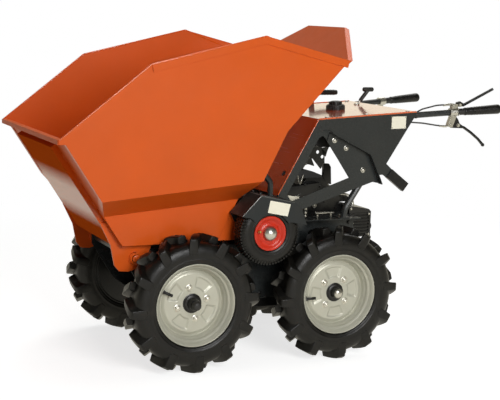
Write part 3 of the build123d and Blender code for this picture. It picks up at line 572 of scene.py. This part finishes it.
def nuts(bm, place, start):
    """Ring of wheel nuts on their studs."""
    size, out = NUT_SIZE, Matrix.Translation((NUT_CIRCLE_R, DISC_Y + 1.4, 0))
    for turn in range(NUT_COUNT):
        seat = place @ spin(start + 360 / NUT_COUNT * turn) @ out
        lathe(bm, ((0, size * 1.3), (2.4, size * 1.24), (3.4, size)), seat, 24)
        lathe(bm, ((2.8, size), (9, size), (10.2, size * 0.82)), seat, 6)
        lathe(bm, ((10, size * 0.5), (13, size * 0.5), (13.8, size * 0.36)), seat, 16)


def road_rims():
    """Pressed rims, a black skin on their inboard side that is painted shade for the shadowed inner barrel,
    nuts, hubs and valves.
    """
    # Profile of the black skin inside the rim's barrel and behind its disc: painted shade, standing in for the
    # shadow on the wheel's inboard side
    well = [(DISC_Y + y - 0.5, r - 0.5) for y, r in BARREL_BACK]
    inboard_shade_skin = [(-41.5, 140.8), (-44.2, 139.2), (-44.7, 136.4), (-43.0, 133.8), (-38.6, 130.8), (-33.4, 128)]
    inboard_shade_skin += well + [(DISC_Y - 3.6, 92), (DISC_Y - 3.6, 26)]
    hub = [(-42, 24), (-42, 29), (DISC_Y + 5, 29), (DISC_Y + 8, 28), (DISC_Y + 9.5, 25.5),
           (DISC_Y + 10, 19.5), (31, 19), (34, 17.5), (34.5, 4)]
    for end, name, side in WHEELS:
        body = f"wheel_{end}_{name}"
        place = outward(JOINTS[body + "_turn"], side)
        bm = bmesh.new()
        lathe(bm, rim_profile(), place, 120, loop=True)
        rim_disc(bm, place @ spin(NUT_TURN[end] + 45))
        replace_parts(piece(body + "_pressing", bm, "rim_silver", body, smooth=45), f"rim_{end}_{name}")
        # Black skin over the rim's inboard side: painted shade, a dark sheet where the inner barrel only lies
        # in shadow
        bm = bmesh.new()
        lathe(bm, inboard_shade_skin, place, 96)
        piece(body + "_back", bm, "black_paint", body, smooth=45)
        bm = bmesh.new()
        nuts(bm, place, NUT_TURN[end])
        piece(body + "_nuts", bm, "steel", body, material=ZINC)
        bm = bmesh.new()
        lathe(bm, hub, place, 48)
        lathe(bm, ((DISC_Y + 1, 33), (DISC_Y + 4, 33), (DISC_Y + 5.5, 30)), place, 48)
        piece(body + "_hub", bm, "black_paint", body)
        hub_end(end, place, body)
        valve(place @ spin(VALVE_TURN[end]), body)


def hub_end(end, place, body):
    """The axle's end: a moulded knob in front, a steel dome behind."""
    bm = bmesh.new()
    if end == "front":
        lathe(bm, ((30, 12), (38, 12), (40, 15), (52, 14.6), (56, 12.5), (58, 9), (58.4, 2)), place, 40)
        piece(body + "_knob", bm, "black_plastic", body)
    else:
        arcs = [radians(angle) for angle in (0, 18, 36, 54, 72, 84)]
        lathe(bm, [(26, 16.5)] + [(33 + 9 * sin(a), 16.5 * cos(a)) for a in arcs], place, 40)
        piece(body + "_dome", bm, "steel", body)


def valve(place, body):
    """Rubber valve stem with its cap, leaning in from the rim's well towards the hub."""
    bm = bmesh.new()
    seat = place @ Matrix.Translation((0, DISC_Y + 3, 112)) @ Matrix.Rotation(radians(-64), 4, "X")
    lathe(bm, ((-6, 7), (2, 7), (5, 5), (20, 4.2), (21, 5), (33, 5), (34, 4)), seat, 20)
    piece(body + "_valve", bm, "black_rubber", body)


# ---- friction drive wheels
def drive_tyre(bm, place):
    """Small tyre with ribs round its sidewalls."""
    table = ((8, 59.5), (3, 61), (1, 66), (0.4, 70), (1.6, 71.5), (0.2, 78), (0.4, 86), (3, 94), (5, 97),
             (8, 103), (16, 106), (DRIVE_HALF, 107))
    half = [(DRIVE_HALF - inset, r) for inset, r in table]
    loop = [(-y, r) for y, r in half[:-1]] + [(y, r) for y, r in half[::-1]]
    lathe(bm, loop + [(DRIVE_HALF - 10, 54), (10 - DRIVE_HALF, 54)], place, 96, loop=True)


def drive_tread(bm, place):
    """Rows of small blocks round the tread, and short ribs on the shoulders."""
    pitch = 360 / DRIVE_TREAD_COUNT
    for row, y in enumerate((-21, -7, 7, 21)):
        top = DRIVE_R - (1.2 if abs(y) > 10 else 0.2)
        for turn in range(DRIVE_TREAD_COUNT):
            seat = place @ spin(pitch * (turn + 0.5 * (row % 2)))
            box(bm, (-3.9, 3.9), (y - 5.6, y + 5.6), (102, top), seat)
    for side in (-1, 1):
        rib = ((-2.4, 28, 103.6), (-2.4, 33, 94), (2.4, 33, 94), (2.4, 28, 103.6))
        ring = [(x, side * y, z) for x, y, z in rib]
        foot = [(x, y - side * 6, z - 3) for x, y, z in ring]
        for turn in range(DRIVE_TREAD_COUNT):
            skin(bm, [ring, foot], place @ spin(pitch * (turn + 0.25)))


def drive_rim(bm, place):
    """Pressed red centre with a raised ring and a bowl round the hub."""
    outer = ((22, 20), (14, 21), (9, 23), (7, 26), (7.4, 31), (10, 34), (10.4, 40), (8, 45), (4, 49),
             (2, 54), (2.4, 58), (5, 59), (9, 54))
    inner = ((8, 54), (4, 58), (2, 54), (8, 44))
    profile = [(DRIVE_HALF - inset, r) for inset, r in outer]
    profile += [(inset - DRIVE_HALF, r) for inset, r in inner] + [(4, 30), (4, 20)]
    lathe(bm, profile, place, 96, loop=True)
    arcs = [radians(angle) for angle in range(-24, 25, 6)]
    ridge = [(37 * sin(a), DRIVE_HALF - 10.4, 37 * cos(a)) for a in arcs]
    for turn in range(4):
        tube(bm, ridge, 2.0, 10, place @ spin(90 * turn + 20))


def drive_wheels():
    """Small tyres on red centres, with a steel dome on each shaft end and a brass valve."""
    dome_arcs = [radians(angle) for angle in (0, 15, 30, 45, 60, 75, 86)]
    dome_end = [(DRIVE_HALF - 14, DRIVE_DOME_R)]
    dome_end += [(DRIVE_HALF - 6 + 21 * sin(a), DRIVE_DOME_R * cos(a)) for a in dome_arcs]
    for name, side in SIDES:
        body = f"drive_wheel_{name}"
        place = outward(JOINTS[body + "_turn"], side)
        bm = bmesh.new()
        drive_tyre(bm, place)
        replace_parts(piece(f"drive_carcass_{name}", bm, "tyre_rubber", body, smooth=50), f"drive_tyre_{name}")
        bm = bmesh.new()
        drive_tread(bm, place)
        piece(f"drive_tread_{name}", bm, "tyre_rubber", body, smooth=30, bevel=0.9)
        bm = bmesh.new()
        drive_rim(bm, place)
        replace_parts(piece(f"drive_centre_{name}", bm, "red_paint", body, smooth=50), f"drive_rim_{name}")
        bm = bmesh.new()
        lathe(bm, ((-DRIVE_HALF, 24), (DRIVE_HALF - 12, 29), (DRIVE_HALF - 10, 27.5)), place, 48)
        lathe(bm, dome_end, place, 48)
        piece(f"drive_dome_{name}", bm, "steel", body)
        bm = bmesh.new()
        seat = place @ spin(78) @ Matrix.Translation((0, DRIVE_HALF - 10, 41))
        lathe(bm, ((-4, 4.6), (6, 4.6), (7, 3.6), (15, 3.6), (16, 2.6)), seat, 16)
        piece(f"drive_valve_{name}", bm, "steel", body, material=BRASS_METAL)


# ---- skip
def front_x(z):
    """Outer face of the skip's front wall at a height."""
    return FRONT_FOOT_X + (z - FRONT_FOOT_Z) * FRONT_LEAN


def stitches(bm, start, end, pitch=62.0, radius=2.2):
    """Short welds spread along a seam."""
    start, end = Vector(start), Vector(end)
    length = (end - start).length
    count = max(1, int(length / pitch))
    half_run = (end - start) / length * STITCH_RUN / 2
    for number in range(count):
        middle = start.lerp(end, (number + 0.5) / count)
        weld(bm, middle - half_run, middle + half_run, radius)


def skip_seams():
    """Stitch welds where the front flanges and the channel meet the front wall."""
    bm = bmesh.new()
    for side in (-1, 1):
        flange = [(333, 768), (333, 598), (218, 527), (218, 430)]
        for (y0, z0), (y1, z1) in zip(flange, flange[1:]):
            stitches(bm, (front_x(z0) + 1, side * y0, z0), (front_x(z1) + 1, side * y1, z1))
        stitches(bm, (front_x(750) + 1, side * 209, 750), (front_x(440) + 1, side * 209, 440), pitch=78)
    piece("skip_stitch_welds", bm, "orange_paint", "skip")


def tub_webs():
    """Webs in line with the tub's sides, behind the foot of its rear wall."""
    bm = bmesh.new()
    for side in (-1, 1):
        low, high = sorted((side * 237, side * 240))
        plate(bm, [(150, 421), (84, 421), (82, 468), (97, 521), (104, 509)], low, high)
    piece("tub_rear_webs", bm, "orange_paint", "skip", bevel=0.6)


def folded_edges():
    """Rounded beads along the folded and cut edges of the skip, the console's cover and the guards."""
    tip_x = front_x(LIP_Z) + 17
    table = (  # part, slot, body, finish, y, radius, points as (x, z)
        ("skip", "orange_paint", "skip", EDGE_GLOSS, SIDE_Y - 1.5, 2.5,
         [(tip_x, LIP_Z), (437, 1016), (42, 1111), (-165, 1035)]),
        ("console", "orange_paint", "chassis", EDGE_GLOSS, CONSOLE_Y - 1.5, 1.8,
         [(-70, 567), (-220, 829.5), (-612, 852.4)]),
        ("guard", "grey_paint", "chassis", GREY_GLOSS, GUARD_Y - 1, 2.1,
         [(109, 519.5), (42, 586.5), (-82, 561.2)]),
    )
    for part, slot, body, material, y, radius, path in table:
        bm = bmesh.new()
        for side in (-1, 1):
            for (x0, z0), (x1, z1) in zip(path, path[1:]):
                rounded_bar(bm, (x0, side * y, z0), (x1, side * y, z1), radius, 12)
        if part == "skip":
            rounded_bar(bm, (tip_x, -352, LIP_Z - 1), (tip_x, 352, LIP_Z - 1), radius, 12)
        piece(f"{part}_edge_beads", bm, slot, body, material=material)


def closing_plates():
    """A flap under the foot of the console's cover, and the rocker cover behind the engine's case."""
    bm = bmesh.new()
    plate(bm, [(-76, 546), (-73, 546), (-71, 566), (-74, 566)], -205, 205)
    piece("deck_flap", bm, "black_paint", bevel=0.5)
    bm = bmesh.new()
    plate(bm, [(-398, 501), (-398, 531), (-452, 526), (-468, 512), (-468, 501)], -20, 42)
    piece("rocker_cover", bm, "black_paint", bevel=2.5)


def hinge_ends():
    """Washers and split pins on the ends of the tipping pivot."""
    bm = bmesh.new()
    for side in (-1, 1):
        seat = outward(at(PIVOT_X, side * 221, PIVOT_Z), side)
        lathe(bm, ((0, 15), (0, 20), (2.4, 20), (2.4, 15)), seat, 40, loop=True)
        lathe(bm, ((4, 13.9), (7, 14.3), (8.6, 12.4), (9, 3)), seat, 40)
        tube(bm, [(0, 4.6, -21), (0, 4.6, 21), (4, 4.6, 25), (8, 4.6, 22)], 1.8, 10, seat)
    piece("pivot_washers", bm, "orange_paint")


# ---- chassis
def ring_weld(bm, x, y, z, radius, size):
    """Bead round a tube that passes through a plate across the machine."""
    ways = [tau * n / 8 for n in range(8)]
    rings = []
    for step in range(72):
        turn = tau * step / 72
        bead = size * (0.84 + 0.16 * cos(step * tau / 4))
        rings.append([(x + cos(turn) * (radius + bead * cos(a)), y + bead * sin(a),
                       z + sin(turn) * (radius + bead * cos(a))) for a in ways])
    skin(bm, rings, MACHINE, loop=True)


def chassis_details():
    """Welds and bolts of the chassis, and the plug under it."""
    bm = bmesh.new()
    for side in (-1, 1):
        y = side * (CHASSIS_Y + 0.5)
        for x in (-AXLE_X, AXLE_X):
            ring_weld(bm, x, y, TYRE_R, AXLE_TUBE_R, 2.6)
        stitches(bm, (-160, y, 201), (120, y, 201), pitch=70)
        stitches(bm, (-395, y, 470.5), (-130, y, 470.5), pitch=66, radius=1.8)
        ring_weld(bm, PIVOT_X, y, PIVOT_Z, 14.5, 2.2)
    piece("chassis_welds", bm, "grey_paint")
    bm = bmesh.new()
    for side in (-1, 1):
        spots = ((-152, 452), (-385, 452), (-40, 216), (100, 216), (170, 300), (170, 360))
        side_bolts(bm, spots, CHASSIS_Y, 7, side)
        for x in (-150, 110):
            bolt(bm, at(x, side * 150, CHASSIS_LOW_Z), (0, 0, -1), 7)
    lathe(bm, ((-1, 15), (2, 15), (2.6, 13)), facing(at(-20, 0, CHASSIS_LOW_Z), (0, 0, -1)), 32)
    bolt(bm, at(-20, 0, CHASSIS_LOW_Z - 2.4), (0, 0, -1), 9, washer=False)
    piece("chassis_bolts", bm, "black_paint")


# ---- drive guards
def guard_details():
    """Bolts on the guards' tops, the blank sticker, and the bolts of the drive bearings."""
    bm = bmesh.new()
    for x, y, z in ((36, -268, 589), (-62, -268, 569), (36, 268, 589), (-62, 268, 569), (33, 322, 588)):
        bolt(bm, at(x, y, z), GUARD_UP, 6)
    piece("guard_bolts", bm, "black_paint")
    bm = bmesh.new()
    plate(bm, [(9, 570), (-67, 554.5), (-57, 514), (17, 529)], GUARD_Y - 0.1, GUARD_Y + 0.35)
    piece("blank_sticker", bm, "grey_paint", material=BLANK_PLATE)
    for name, side in SIDES:
        bm = bmesh.new()
        middle = facing(at(0, side * 252, DRIVE_Z))
        for turn in range(3):
            bolt(bm, middle @ spin(120 * turn + 30) @ Vector((0, 0, 34)), (0, side, 0), 5)
        piece(f"bearing_bolts_{name}", bm, "steel")


# ---- console
def console_details():
    """Blank plate with its rivets, the console's screws and seams, and a corner of its heel."""
    bm = bmesh.new()
    plate(bm, [(-511, 791), (-511, 835), (-570, 836), (-570, 792)], CONSOLE_Y - 0.2, CONSOLE_Y + 0.8)
    piece("blank_plate", bm, "grey_paint", material=BLANK_PLATE)
    bm = bmesh.new()
    for x, z in ((-514.5, 795), (-514.5, 831.5), (-566.5, 832), (-566.5, 796)):
        dome(bm, at(x, CONSOLE_Y + 0.8, z), (0, 1, 0), 2.0, 1.2, 12)
    piece("blank_plate_rivets", bm, "steel")
    bm = bmesh.new()
    for side in (-1, 1):
        for x, z in ((-589, 850.9), (-420, 841), (-262, 831.7)):
            dome(bm, at(x, side * 222, z), (0.06, 0, 1), 7.5, 3.4)
        for x, z in ((-560, 757), (-595, 808)):
            dome(bm, at(x, side * 190, z), (-0.82, 0, -0.57), 6, 3)
    piece("console_screws", bm, "steel")
    bm = bmesh.new()
    for side in (-1, 1):
        seat = facing(at(-111, side * 205, 638), (0.867, 0, 0.498))
        lathe(bm, ((-1, 9), (1.6, 9), (2, 7.6), (0.6, 6.6), (0.6, 4), (3.4, 3.4), (3.6, 0.5)), seat, 28)
    piece("bulkhead_screws", bm, "black_paint")
    bm = bmesh.new()
    for side in (-1, 1):
        y = side * (CONSOLE_Y + 0.3)
        hook = [(x, y, z) for x, z in ((-235, 789), (-262, 789), (-276, 779), (-270, 762), (-260, 752))]
        tube(bm, curve_points(hook, 6), 1.3, 8)
        stitches(bm, (-80, y, 548), (-170, y, 575), pitch=46, radius=1.6)
    piece("console_seams", bm, "grey_paint")
    bm = bmesh.new()
    plate(bm, [(-495, 668), (-531, 672), (-524, 657), (-517, 633), (-505, 641)], -CONSOLE_Y, 4 - CONSOLE_Y)
    piece("heel_corner_right", bm, "grey_paint")


def brace_details():
    """Bolts through the braces, and the feet of the support tubes."""
    bm = bmesh.new()
    for side in (-1, 1):
        for x, z in ((-281, 755), (-328, 727), (-399, 648)):
            seat = at(x, side * BRACE_Y, z)
            lathe(bm, ((-0.5, 9.5), (1.4, 9.5), (1.8, 8.8)), facing(seat, (0, side, 0)), 32)
            dome(bm, seat + Vector((0, side * 1.6 * MM, 0)), (0, side, 0), 7.2, 5.2)
        dome(bm, at(-461, side * 262, 616.5), (-0.9, 0, 0.42), 5, 3)
        for y in (202, 212):
            bolt(bm, at(-338, side * y, DECK_Z + 3), (0, 0, 1), 5)
    piece("brace_bolts", bm, "steel")
    bm = bmesh.new()
    for side in (-1, 1):
        box(bm, (-358, -318), sorted((side * 194, side * 241.5)), (DECK_Z, DECK_Z + 3.5))
    piece("support_feet", bm, "grey_paint", bevel=0.8)


def filler_cap():
    """Ribbed cap on a wide collar."""
    bm = bmesh.new()
    seat = facing(at(-418, 0, 838), LID_UP)
    lathe(bm, ((-1, 34), (15, 34), (18.6, 33), (20.4, 30.4), (20.8, 22)), seat, 72)
    lathe(bm, ((19, 21), (28, 21), (31.6, 19.6), (33.4, 16), (33.9, 4)), seat, 72)
    for turn in range(12):
        box(bm, (-2.4, 2.4), (19, 31), (18, 24.6), seat @ spin(30 * turn))
    for turn in range(36):
        box(bm, (-0.9, 0.9), (2, 16), (33, 35), seat @ spin(10 * turn))
    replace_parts(piece("filler_cap_ribbed", bm, "black_plastic", bevel=0.5), "filler_cap")


def rounded_bar(bm, start, end, radius, sides=28):
    """Round bar with domed ends."""
    start, end = Vector(start), Vector(end)
    cap = (end - start).normalized() * radius * 0.8
    steps = [(0.0, 0.2), (0.12, 0.55), (0.35, 0.82), (0.7, 0.97), (1.0, 1.0)]
    path = [start + cap * part for part, _ in steps] + [end - cap * part for part, _ in steps[::-1]]
    tube(bm, path, [radius * share for _, share in steps + steps[::-1]], sides)


def console_levers():
    """Direction lever with its sleeved T head, and the tipping lever with its moulded grip."""
    bm = bmesh.new()
    foot, top = DIRECTION_FOOT, DIRECTION_TOP
    rounded_bar(bm, (-635, top.y, top.z + 4.5), (-588, top.y, top.z + 4.5), 8.6)
    tube(bm, [foot.lerp(top, 0.3), foot.lerp(top, 0.36), top], [5.6, 7.4, 7.4], 24)
    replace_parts(piece("direction_grip", bm, "black_plastic"), "direction_lever")
    bm = bmesh.new()
    tube(bm, [foot - Vector((0, 0, 2)), foot.lerp(top, 0.35)], 3.6, 20)
    lathe(bm, ((-1, 11), (2, 11), (4.5, 8), (6, 4)), facing(at(-564, foot.y, 849), LID_UP), 28)
    piece("direction_stem", bm, "steel")
    bm = bmesh.new()
    rounded_bar(bm, (-562, TIPPING_Y, TIPPING_Z), (-449, TIPPING_Y, TIPPING_Z), 10)
    for x in range(-548, -464, 12):
        tube(bm, [(x, TIPPING_Y, TIPPING_Z), (x + 4, TIPPING_Y, TIPPING_Z)], 10.7, 28)
    piece("tipping_grip", bm, "black_rubber")
    bm = bmesh.new()
    side_bolts(bm, ((-445, 808), (-445, 832)), 252, 6, side=-1)
    piece("tipping_bolts", bm, "steel")


# ---- handles
def on_handle(side, share):
    """Point on a handle's straight part: 0 at its bend, 1 at its end."""
    spot = HANDLE_BEND.lerp(HANDLE_END, share)
    return Vector((spot.x, side * spot.y, spot.z))


def sleeve(bm, side, start, end, radius, sides=28):
    """Band round a handle between two shares of its straight part."""
    tube(bm, [on_handle(side, start), on_handle(side, end)], radius, sides)


def grip(bm, side):
    """Hand grip that swells to a round end, with shallow rings."""
    first = 1 - GRIP_LEN / (HANDLE_END - HANDLE_BEND).length
    table = [(-0.02, 11.2), (0.0, 13.2), (0.03, 14.4), (0.06, 13.4), (0.1, 14.0), (0.5, 15.6), (0.8, 17.0),
             (0.93, 17.6), (0.97, 16.9), (0.99, 15.2), (1.0, 12.0)]
    path = [on_handle(side, first + (1 - first) * part) for part, _ in table]
    tube(bm, path, [radius for _, radius in table], 40)
    for ring in range(9):
        part = 0.2 + 0.075 * ring
        share = first + (1 - first) * part
        sleeve(bm, side, share, share + 0.012, 14.4 + 3.3 * part, 40)


def handle_details():
    """Grips, sleeves, the clamps' bolts, the cables' adjusters and the switch box on the right."""
    bm = bmesh.new()
    for side in (-1, 1):
        grip(bm, side)
    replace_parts(piece("flared_grips", bm, "black_rubber"), "grips")
    bm = bmesh.new()
    for side in (-1, 1):
        sleeve(bm, side, CLAMP_SHARE + 0.045, 0.6, 11.9)
        sleeve(bm, side, 0.008, 0.03, 12.2)
    piece("handle_sleeves", bm, "black_plastic")
    bm = bmesh.new()
    y = LEVER_Y
    side_bolts(bm, [(-762, 873)], y + 8, 6)
    side_bolts(bm, [(-752, 805)], y + 8, 5)
    side_bolts(bm, ((-789, 875), (-786, 802)), y + 6, 6)
    side_bolts(bm, [(-775, 847)], y + 12, 5, side=-1)
    for adjuster in ([(-755, y, 877), (-741, y, 877), (-733, y, 875.5), (-722, y - 1, 873.6)],
                     [(-740, y, 799), (-727, y, 798.6), (-719, y, 799), (-709, y - 1, 800)]):
        tube(bm, adjuster, [4.4, 4.4, 3.6, 3.4], 16)
    hook = curve_points([(-777, y + 9, 866), (-783, y + 10, 857), (-786, y + 10, 846), (-783, y + 9, 836)], 6)
    tube(bm, hook, 1.7, 12)
    tube(bm, [(-760, -y, 826), (-760, -y, 818)], [6, 4.5], 20)
    piece("clamp_fittings", bm, "steel")
    bm = bmesh.new()
    rows = []
    for share, low in ((0.03, -26), (0.27, -20)):
        spot = on_handle(-1, share)
        rows.append([spot + Vector((0, y, z)) for y, z in ((10, -9), (10, low), (-10, low), (-10, -9))])
    skin(bm, rows, MACHINE)
    piece("switch_box", bm, "black_plastic", bevel=2.0)


# ---- engine
def engine_details():
    """Clips, bolts, plate, fins, pipe and leads of the engine, and the idler beside it."""
    bm = bmesh.new()
    y = CASE_Y - 0.6
    for top_x, top_z, foot_x, foot_z in ((-209, 616, -213, 589), (-230, 617, -219, 584)):
        tube(bm, [(top_x, y, top_z), (foot_x, y, foot_z)], [2.6, 2.2], 10)
    side_bolts(bm, [(-280, 505)], CASE_Y, 7)
    y = IDLER_Y
    for x in (-250, -304):
        box(bm, (x - 3, x + 3), (y - 4, y + 4), (DECK_Z, 488))
    tube(bm, [(-241, y, 492), (-286, y, 491.6)], 6.2, 20)
    tube(bm, [(-286, y, 491.6), (-316, y, 491.2)], 4.4, 20)
    side_bolts(bm, ((-204, 483), (-204, 495), (-204, 509)), y + 1, 3.6)
    piece("engine_fittings", bm, "steel")
    bm = bmesh.new()
    rim_spots = ((-90, 512), (-90, 545), (-160, 570), (-240, 582), (-300, 575), (-318, 520))
    side_bolts(bm, rim_spots, CASE_Y, 4.5)
    side_bolts(bm, ((-381, 490), (-350, 545), (-392, 505)), BLOCK_Y, 5)
    piece("case_bolts", bm, "black_paint")
    bm = bmesh.new()
    pipe = [(-385, 60, 528), (-412, 60, 533), (-446, 62, 528), (-462, 70, 510), (-464, 74, 486)]
    tube(bm, curve_points(pipe, 6), 7, 24)
    piece("exhaust_pipe", bm, "steel")
    bm = bmesh.new()
    plate(bm, [(-157, 548), (-217, 540), (-218, 523), (-158, 531)], CASE_Y - 0.2, CASE_Y + 1)
    piece("blank_engine_plate", bm, "steel", material=BLANK_PLATE)
    bm = bmesh.new()
    box(bm, (-212, -196), (y - 4, y), (DECK_Z, 517))
    box(bm, (-316, -236), (y - 8, y - 4), (DECK_Z, 482))
    piece("idler_bracket", bm, "black_paint", bevel=0.6)
    bm = bmesh.new()
    fin = [(-326, 602), (-318, 609), (-348, 582), (-380, 560), (-402, 536), (-396, 528), (-340, 560)]
    for row in range(16):
        low = -84 + row * 10.5
        plate(bm, fin, low, low + 3)
    piece("cooling_fins", bm, "black_paint", material=FIN_METAL)
    bm = bmesh.new()
    plug = facing(at(-392, -30, 545), (-0.7, 0, 0.7))
    lathe(bm, ((-6, 9), (2, 9), (4, 7), (16, 6), (20, 7.5), (30, 7)), plug, 24)
    lead = [(-412, -30, 566), (-420, -45, 560), (-412, -75, 548), (-385, -92, 545), (-350, -97, 560)]
    tube(bm, curve_points(lead, 8), 3, 12)
    piece("engine_leads", bm, "black_rubber")


def starter_ribs():
    """Vent ribs, rope handle and screws of the recoil starter on the engine's right."""
    x, y, z = STARTER_X, STARTER_Y, STARTER_Z
    seat = facing(at(x, y, z), (0, -1, 0))
    bm = bmesh.new()
    for turn in range(18):
        box(bm, (-2, 2), (-1, 5), (44, 59), seat @ spin(20 * turn))
    lathe(bm, ((-1, 62), (4, 62), (5, 60), (4, 58), (-1, 58)), seat, 72, loop=True)
    lathe(bm, ((9, 40), (13, 38), (14.5, 30), (15, 8)), seat, 60)
    rounded_bar(bm, (x + 30, y - 6, z + 56), (x + 62, y - 6, z + 40), 7)
    piece("recoil_ribs", bm, "black_plastic", bevel=0.5)
    bm = bmesh.new()
    for turn in range(4):
        bolt(bm, seat @ spin(90 * turn + 45) @ Vector((0, 4, 52)), (0, -1, 0), 4.5)
    piece("recoil_screws", bm, "steel")


def muffler_details():
    """Screws, outlet and louvres of the muffler's guard."""
    bm = bmesh.new()
    side_bolts(bm, ((-416, 492), (-492, 472), (-416, 396), (-492, 396)), MUFFLER_Y, 3.8)
    side_bolts(bm, [(-425, 438)], MUFFLER_Y, 3.2)
    outlet = facing(at(-512, 110, 420), (-1, 0, 0))
    lathe(bm, ((-1, 15), (-1, 13), (-8, 13), (-8, 15)), outlet, 32, loop=True)
    piece("muffler_screws", bm, "steel")
    bm = bmesh.new()
    for row in range(8):
        z = 392.5 + 11.5 * row
        box(bm, (-497, -411), (MUFFLER_Y - 0.6, MUFFLER_Y + 2.2), (z, z + 3.2))
    piece("muffler_louvres", bm, "black_paint", bevel=0.8)


# ---- stage
def stage():
    """Pale floor that keeps the machine's shadow and fades into the white backdrop."""
    bpy.ops.mesh.primitive_plane_add(size=40)
    floor = bpy.context.object
    floor.name = "studio_floor"
    net = Paint("pale_floor")
    net.dress(Base_Color=FLOOR_COLOUR, Roughness=0.9, Specular_IOR_Level=0.1)
    camera_ray, glossy, through = net.rays()
    seen = net.math("MAXIMUM", net.math("MAXIMUM", camera_ray, glossy), through)
    near = glow(net, glossy, net.times(seen, FLOOR_GLOW))
    both = net.node("AddShader", "Shader", {0: net.shader.outputs["BSDF"], 1: near})
    away = net.node("VectorMath", "Value", {0: net.coords}, operation="LENGTH")
    share = net.times(net.remap(away, *FLOOR_FADE, interpolation_type="SMOOTHSTEP"), seen)
    surface = net.node("MixShader", "Shader", {0: share, 1: both, 2: glow(net, glossy, 1.0)})
    net.set(net.nodes["Material Output"].inputs["Surface"], surface)
    floor.data.materials.append(net.owner)


def glow(net, glossy, strength):
    """Emission of a strength: white, with the backdrop's tint in what polished surfaces show."""
    tint = net.mix(glossy, WHITE, GLOSS_TINT)
    return net.node("Emission", "Emission", {"Color": tint, "Strength": strength})


def world():
    """White backdrop for what looks at it; polished surfaces see it bright low behind the machine's
    far side and dim elsewhere, as in a studio with one white wall."""
    space = bpy.data.worlds.new("studio")
    bpy.context.scene.world = space
    net = Net(space)
    camera_ray, glossy, through = net.rays()
    way = net.node("TexCoord", "Generated")
    wall = net.remap(net.node("SeparateXYZ", "Y", {0: way}), 0.35, -0.35, GLOSS_NEAR, GLOSS_FAR)
    ceiling = net.remap(net.node("SeparateXYZ", "Z", {0: way}), 0.2, 0.45, 1.0, GLOSS_ABOVE)
    shown = net.times(glossy, net.times(wall, ceiling))
    plain = net.times(net.math("SUBTRACT", 1.0, glossy), WORLD_LIGHT)
    seen = net.math("MAXIMUM", camera_ray, through)
    background = net.nodes["Background"].inputs
    net.set(background["Color"], net.mix(glossy, WHITE, GLOSS_TINT))
    net.set(background["Strength"], net.math("MAXIMUM", seen, net.math("ADD", shown, plain)))


def lamp(name, place, size, power):
    """Soft square lamp that points at the machine."""
    data = bpy.data.lights.new(name, "AREA")
    data.size = size
    data.energy = power
    obj = bpy.data.objects.new(name, data)
    obj.location = place
    obj.rotation_mode = "QUATERNION"
    obj.rotation_quaternion = (Vector(LAMP_TARGET) - Vector(place)).to_track_quat("-Z", "Y")
    bpy.context.scene.collection.objects.link(obj)


def camera():
    """Camera at the viewing angle of the photograph, about 4 m from the machine's left front."""
    ahead = (TARGET - EYE).normalized()
    right = ahead.cross(Vector((0, 0, 1))).normalized()
    up = right.cross(ahead)
    x_axis = right * cos(ROLL) + up * sin(ROLL)
    y_axis = up * cos(ROLL) - right * sin(ROLL)
    data = bpy.data.cameras.new("camera")
    data.sensor_width = 36
    data.lens = LENS
    data.shift_x, data.shift_y = SHIFT
    obj = bpy.data.objects.new("camera", data)
    obj.matrix_world = Matrix.Translation(EYE) @ Matrix((x_axis, y_axis, -ahead)).transposed().to_4x4()
    bpy.context.scene.collection.objects.link(obj)
    bpy.context.scene.camera = obj


paint_cad()
road_tyres()
road_rims()
drive_wheels()
skip_seams()
tub_webs()
folded_edges()
hinge_ends()
chassis_details()
guard_details()
console_details()
brace_details()
filler_cap()
console_levers()
handle_details()
engine_details()
starter_ribs()
muffler_details()
closing_plates()
stage()
world()
for values in LAMPS:
    lamp(*values)
camera()
bpy.context.scene.view_settings.view_transform = "Standard"
